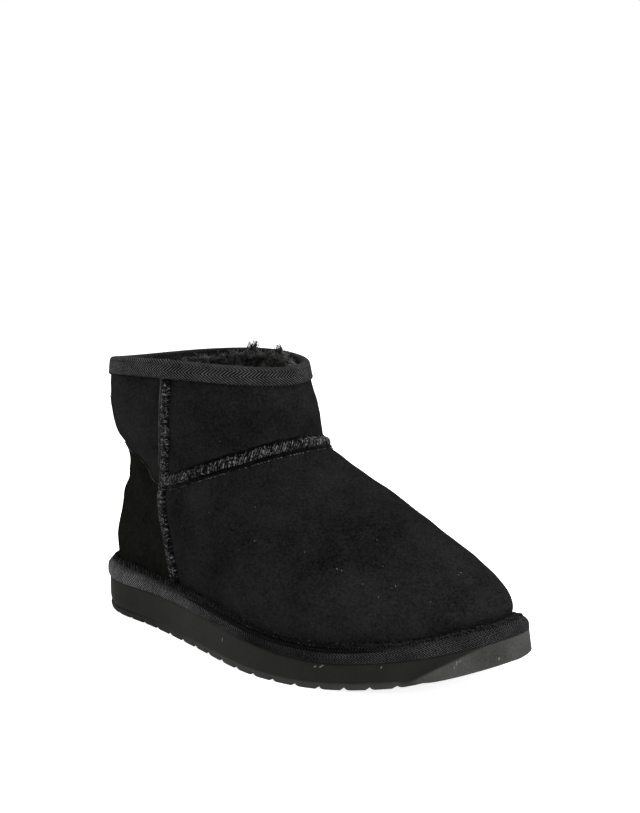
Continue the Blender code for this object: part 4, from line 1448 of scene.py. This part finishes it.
def treadSides(x):
    edge = soleEdge()
    along = np.roll(edge, -1, 0) - np.roll(edge, 1, 0)
    outwards = unit(np.stack([-along[:, 1], along[:, 0]], 1))
    share = edge[:, 0] / shape["soleLength"]
    inset = treadSize["inset"] + (treadSize["heelInset"] - treadSize["inset"]) * ease((0.16 - share) / 0.16)
    inset = inset + (treadSize["toeInset"] - treadSize["inset"]) * ease((share - 0.855) / 0.10)
    edge = edge - outwards * inset[:, None]
    edge = np.roll(edge, -int(edge[:, 0].argmin()), 0)
    tip = int(edge[:, 0].argmax())
    inner = edge[:tip + 1]
    outer = np.vstack([edge[tip:], edge[:1]])[::-1]
    return np.interp(x, outer[:, 0], outer[:, 1]), np.interp(x, inner[:, 0], inner[:, 1])


def makeTread():
    size = treadSize
    back = edgeBack + size["heelInset"]
    front = edgeFront - size["toeInset"]
    ends = (1 - np.cos(np.radians([6, 12, 20, 30, 42, 56, 74]))) * size["groovePitch"] * 0.9
    stations = [(back + step, 0.0) for step in ends]
    groove = back + size["groovePitch"] * 1.25
    while groove < front - size["groovePitch"] * 1.1:
        half = size["grooveWidth"] / 2
        forwards = ease((groove / shape["soleLength"] - 0.20) / 0.25)
        shallow = size["heelShallow"] + (1 - size["heelShallow"]) * forwards
        for side, step, depth in grooveProfile:
            stations.append((groove + side * half + step, depth * shallow * size["grooveDepth"]))
        middle = groove + size["groovePitch"] / 2
        if middle < front - size["groovePitch"] * 1.1:
            stations.append((middle, 0.0))
        groove += size["groovePitch"]
    stations += [(front - step, 0.0) for step in ends[::-1]]
    rings = []

    def sway(y, fade):
        return size["wave"] * fade * np.cos(y / size["waveLength"] * 2 * math.pi)

    for x, depth in stations:
        fade = ease(min(x - back, front - x) / (2 * size["groovePitch"]))
        outer, inner = (float(side) for side in treadSides(x))
        for repeat in range(4):
            outerSway = sway(outer, fade)
            innerSway = sway(inner, fade)
            outer = float(treadSides(x + outerSway)[0])
            inner = float(treadSides(x + innerSway)[1])
        edge = np.array([0, 0.0004, 0.0010, 0.0020, 0.0032]) * min(1.0, (inner - outer) / 0.02)
        middle = np.linspace(outer + 1.6 * edge[-1], inner - 1.6 * edge[-1], size["across"] - 9)
        y = np.concatenate([outer + edge, middle, inner - edge[::-1]])
        xs = x + sway(y, fade)
        low = floorHeight(xs)
        high = low + shape["treadThickness"]
        bottom = np.column_stack([xs, y, low + depth])
        bottom[[0, -1], 2] += 0.0005
        roundness = size["heelRound"] * ease((0.36 - (x - edgeBack) / shape["soleLength"]) / 0.30) + 0.0001
        fromEdge = np.minimum(np.minimum(y - outer, inner - y), x - back + 0.0002)
        bottom[:, 2] += roundness - np.sqrt(roundness**2 - np.clip(roundness - fromEdge, 0, roundness) ** 2)
        top = np.column_stack([xs, y, high])
        rings.append(np.vstack([bottom, top[[-1, 0]]]))
    return cappedPiece("treadSole", np.array(rings))


finishMesh(makeTread(), treadRubber, ["outsole"])
print("sole made")


# Fleece footbed

footbedSize = {"thickness": 0.0045, "clearance": 0.0006, "around": 240, "across": 40}


def makeFootbed():
    size = footbedSize
    half = size["around"] // 2
    angle = np.linspace(0.02, math.pi - 0.02, half)
    outer = plainUpper(angle, np.zeros(half))
    inner = plainUpper(2 * math.pi - angle, np.zeros(half))
    span = unit((inner - outer) * np.array([1, 1, 0]))
    outer = outer + span * (shape["wall"] + size["clearance"])
    inner = inner - span * (shape["wall"] + size["clearance"])
    t = np.linspace(0, 1, size["across"])
    plan = outer[:, None] * (1 - t)[None, :, None] + inner[:, None] * t[None, :, None]
    top = plan.copy()
    edgeFall = np.clip(np.minimum(t, 1 - t) / 0.06, 0, 1) ** 0.5
    fluff = 0.0006 * lumps(plan, 0.006, 81) + 0.0004 * lumps(plan, 0.0028, 82)
    top[..., 2] = soleTop(plan[..., 0]) + 0.0003 + size["thickness"] * (0.55 + 0.45 * edgeFall[None]) + fluff
    bottom = plan.copy()
    bottom[..., 2] = soleTop(plan[..., 0]) + 0.0003
    rows = np.concatenate([top, bottom[:, ::-1]], 1)

    def ends(ids):
        steps = range(size["across"] - 1)
        return [ring[[i, i + 1, -i - 2, -i - 1]].tolist() for ring in (ids[0], ids[-1]) for i in steps]

    return cappedPiece("fleeceFootbed", rows, ends)


finishMesh(makeFootbed(), blackWool, ["insole"])


# Wool lining: a lumpy fleece wall, and curls standing out of it round the collar

woolSize = {"pile": 0.0024, "low": 0.03, "high": 0.975, "around": 300, "rows": 110}


def makeLining():
    size = woolSize
    angle = np.arange(size["around"]) * 2 * math.pi / size["around"]
    ups = np.linspace(size["low"], size["high"], size["rows"])
    gridAngle, gridUp = np.meshgrid(angle, ups)
    plain = plainUpper(gridAngle, gridUp)
    normal = plainNormal(gridAngle, gridUp)
    normal = unit(normal * np.array([1, 1, 0.4]))
    fluff = 0.0009 * lumps(plain, 0.009, 91) + 0.0006 * lumps(plain, 0.0042, 92)
    ends = ease((size["high"] - gridUp) / 0.05) * ease((gridUp - size["low"]) / 0.04)
    depth = shape["wall"] + 0.0004 + np.maximum(size["pile"] + fluff, 0.0004) * (0.15 + 0.85 * ends)
    surface = plain - normal * depth[..., None]
    backing = plain - normal * (shape["wall"] - 0.0004)
    rows = np.concatenate([surface, backing[::-1]])
    return newPiece("woolLining", rows, gridFaces(*rows.shape[:2], closedRows=True, closedColumns=True))


finishMesh(makeLining(), blackWool)


# Curls grow in locks. Most stand on the inner side, which the opening shows, and two tufts rise past the rim.
curlSize = {
    "curls": 4700, "locks": 620, "shortest": 0.0038, "longest": 0.0062, "thin": 0.00028, "thick": 0.00048,
    "seen": (165, 330), "seenShare": 0.55,
    "tufts": (272, 243), "tuftCurls": 34, "tuftUp": 0.985, "tuftRise": 1.9, "tuftLonger": 1.35,
}


def makeCurls():
    size = curlSize
    rng = np.random.default_rng(95)
    count = size["curls"]
    locks = size["locks"]
    lockAngle = rng.uniform(0, 2 * math.pi, locks)
    seen = rng.uniform(math.radians(size["seen"][0]), math.radians(size["seen"][1]), locks)
    lockAngle = np.where(rng.uniform(size=locks) < size["seenShare"], seen, lockAngle)
    high = ease((lockAngle - math.radians(228)) / 0.12) * ease((math.radians(286) - lockAngle) / 0.12)
    across = ease((lockAngle - math.radians(222)) / 0.12) * ease((math.radians(332) - lockAngle) / 0.12)
    lockUp = 0.961 + 0.009 * high - 0.26 * rng.uniform(size=locks) ** (1.3 + 1.5 * across)
    lock = np.sort(rng.integers(0, locks, count))
    angle = lockAngle[lock] + rng.normal(size=count) * 0.028
    up = np.minimum(lockUp[lock] + rng.normal(size=count) * 0.008, 0.965 + 0.009 * high[lock])
    tufted = np.zeros(count, bool)
    for index, degrees in enumerate(size["tufts"]):
        first = index * size["tuftCurls"]
        chosen = slice(first, first + size["tuftCurls"])
        angle[chosen] = math.radians(degrees) + rng.normal(size=size["tuftCurls"]) * 0.030
        up[chosen] = size["tuftUp"]
        lock[chosen] = first
        tufted[chosen] = True
    plain = plainUpper(angle, up)
    normal = unit(plainNormal(angle, up) * np.array([1, 1, 0.3]))
    inwards = shape["wall"] + 0.0008 + 0.0014 * ease((up - 0.93) / 0.03)
    base = plain - normal * inwards[:, None]
    length = rng.uniform(size["shortest"], size["longest"], count)
    length[tufted] *= size["tuftLonger"]
    lean = rng.normal(size=(locks, 3)) * 0.42
    rise = 0.16 + 0.12 * ease((up - 0.90) / 0.06) + 0.08 * high[lock]
    rise = np.where(tufted, size["tuftRise"], rise)
    stray = lean[lock] + 0.22 * rng.normal(size=(count, 3))
    upright = np.array([0, 0, 1.0]) * rise[:, None]
    heading = unit(-normal + upright + stray)
    # each curl winds round its own line
    t = np.linspace(0, 1, 7)
    sideA = unit(np.cross(heading, rng.normal(size=(locks, 3))[lock] + 0.15 * rng.normal(size=(count, 3))))
    sideB = np.cross(heading, sideA)
    turns = rng.uniform(0.7, 1.5, count)[:, None] * t[None] * 2 * math.pi
    swing = (rng.uniform(0.0006, 0.0013, count)[:, None] * np.sqrt(t)[None])[..., None]
    centre = base[:, None] + heading[:, None] * (length[:, None] * t[None])[..., None]
    centre = centre + sideA[:, None] * np.cos(turns)[..., None] * swing
    centre = centre + sideB[:, None] * np.sin(turns)[..., None] * swing
    # and none goes out through the wall
    outwards = np.maximum(((centre - base[:, None]) * normal[:, None]).sum(2) - 0.0002, 0)
    outwards[tufted] = 0
    centre = centre - normal[:, None] * outwards[..., None]
    along = unit(np.gradient(centre, axis=1))
    side = unit(np.cross(along, sideA[:, None] + 0 * along))
    radius = rng.uniform(size["thin"], size["thick"], count)[:, None] * (1 - 0.75 * t[None] ** 1.5)
    return wrapTubes("woolCurls", centre, side, np.cross(side, along), radius, 3)


finishMesh(makeCurls(), blackWool)
print("wool made")


# Floor, lights and camera

floorLook = {"half": 40, "colour": grey(0.60), "glow": 0.80}


def makeFloor(look):
    half = look["half"]
    points = np.array([(-half, -half, 0), (half, -half, 0), (half, half, 0), (-half, half, 0)], float)
    floor = newPiece("paleFloor", points, [[0, 1, 2, 3]])
    material = bpy.data.materials.new("paleFloor")
    material.use_nodes = True
    shader = material.node_tree.nodes["Principled BSDF"]
    shader.inputs["Base Color"].default_value = (*look["colour"], 1)
    shader.inputs["Emission Color"].default_value = (1, 1, 1, 1)
    shader.inputs["Emission Strength"].default_value = look["glow"]
    shader.inputs["Roughness"].default_value = 0.9
    shader.inputs["Specular IOR Level"].default_value = 0.0
    floor.data.materials.append(material)


makeFloor(floorLook)

lights = {
    "right": {"position": (1.10, 0.10, 0.50), "aim": (0.06, 0.0, 0.05), "size": 0.6, "power": 11},
    "left": {"position": (-1.00, -0.42, 0.55), "aim": (-0.08, 0.0, 0.12), "size": 0.6, "power": 11},
    "top": {"position": (0.20, 0.30, 1.15), "aim": (0.0, 0.0, 0.05), "size": 0.8, "power": 14},
}


def addLight(name, look):
    data = bpy.data.lights.new(name, "AREA")
    data.size = look["size"]
    data.energy = look["power"]
    light = bpy.data.objects.new(name, data)
    light.location = look["position"]
    direction = Vector(look["aim"]) - Vector(look["position"])
    light.rotation_euler = direction.to_track_quat("-Z", "Y").to_euler()
    bpy.context.scene.collection.objects.link(light)


for lightName, lightLook in lights.items():
    addLight(lightName, lightLook)

room = {"colour": (1, 1, 1), "strength": 1.0}  # plain white all round


def makeRoom(look):
    world = bpy.data.worlds.new("studio")
    world.use_nodes = True
    background = world.node_tree.nodes["Background"]
    background.inputs["Color"].default_value = (*look["colour"], 1)
    background.inputs["Strength"].default_value = look["strength"]
    bpy.context.scene.world = world


makeRoom(room)
bpy.context.scene.view_settings.view_transform = "Standard"

cameraLook = {
    "position": (0.44483, -0.46207, 0.20142),
    "lookAt": (0.00533, 0.02078, 0.12014),
    "roll": -0.428,
    "lens": 56.794,
}


def addCamera(look):
    data = bpy.data.cameras.new("camera")
    data.lens = look["lens"]
    data.sensor_width = 36
    data.clip_start = 0.02
    camera = bpy.data.objects.new("camera", data)
    direction = Vector(look["lookAt"]) - Vector(look["position"])
    roll = Matrix.Rotation(math.radians(look["roll"]), 3, "Z")
    turned = direction.to_track_quat("-Z", "Y").to_matrix() @ roll
    camera.matrix_world = Matrix.Translation(look["position"]) @ turned.to_4x4()
    bpy.context.scene.collection.objects.link(camera)
    bpy.context.scene.camera = camera


addCamera(cameraLook)

print("scene ready")
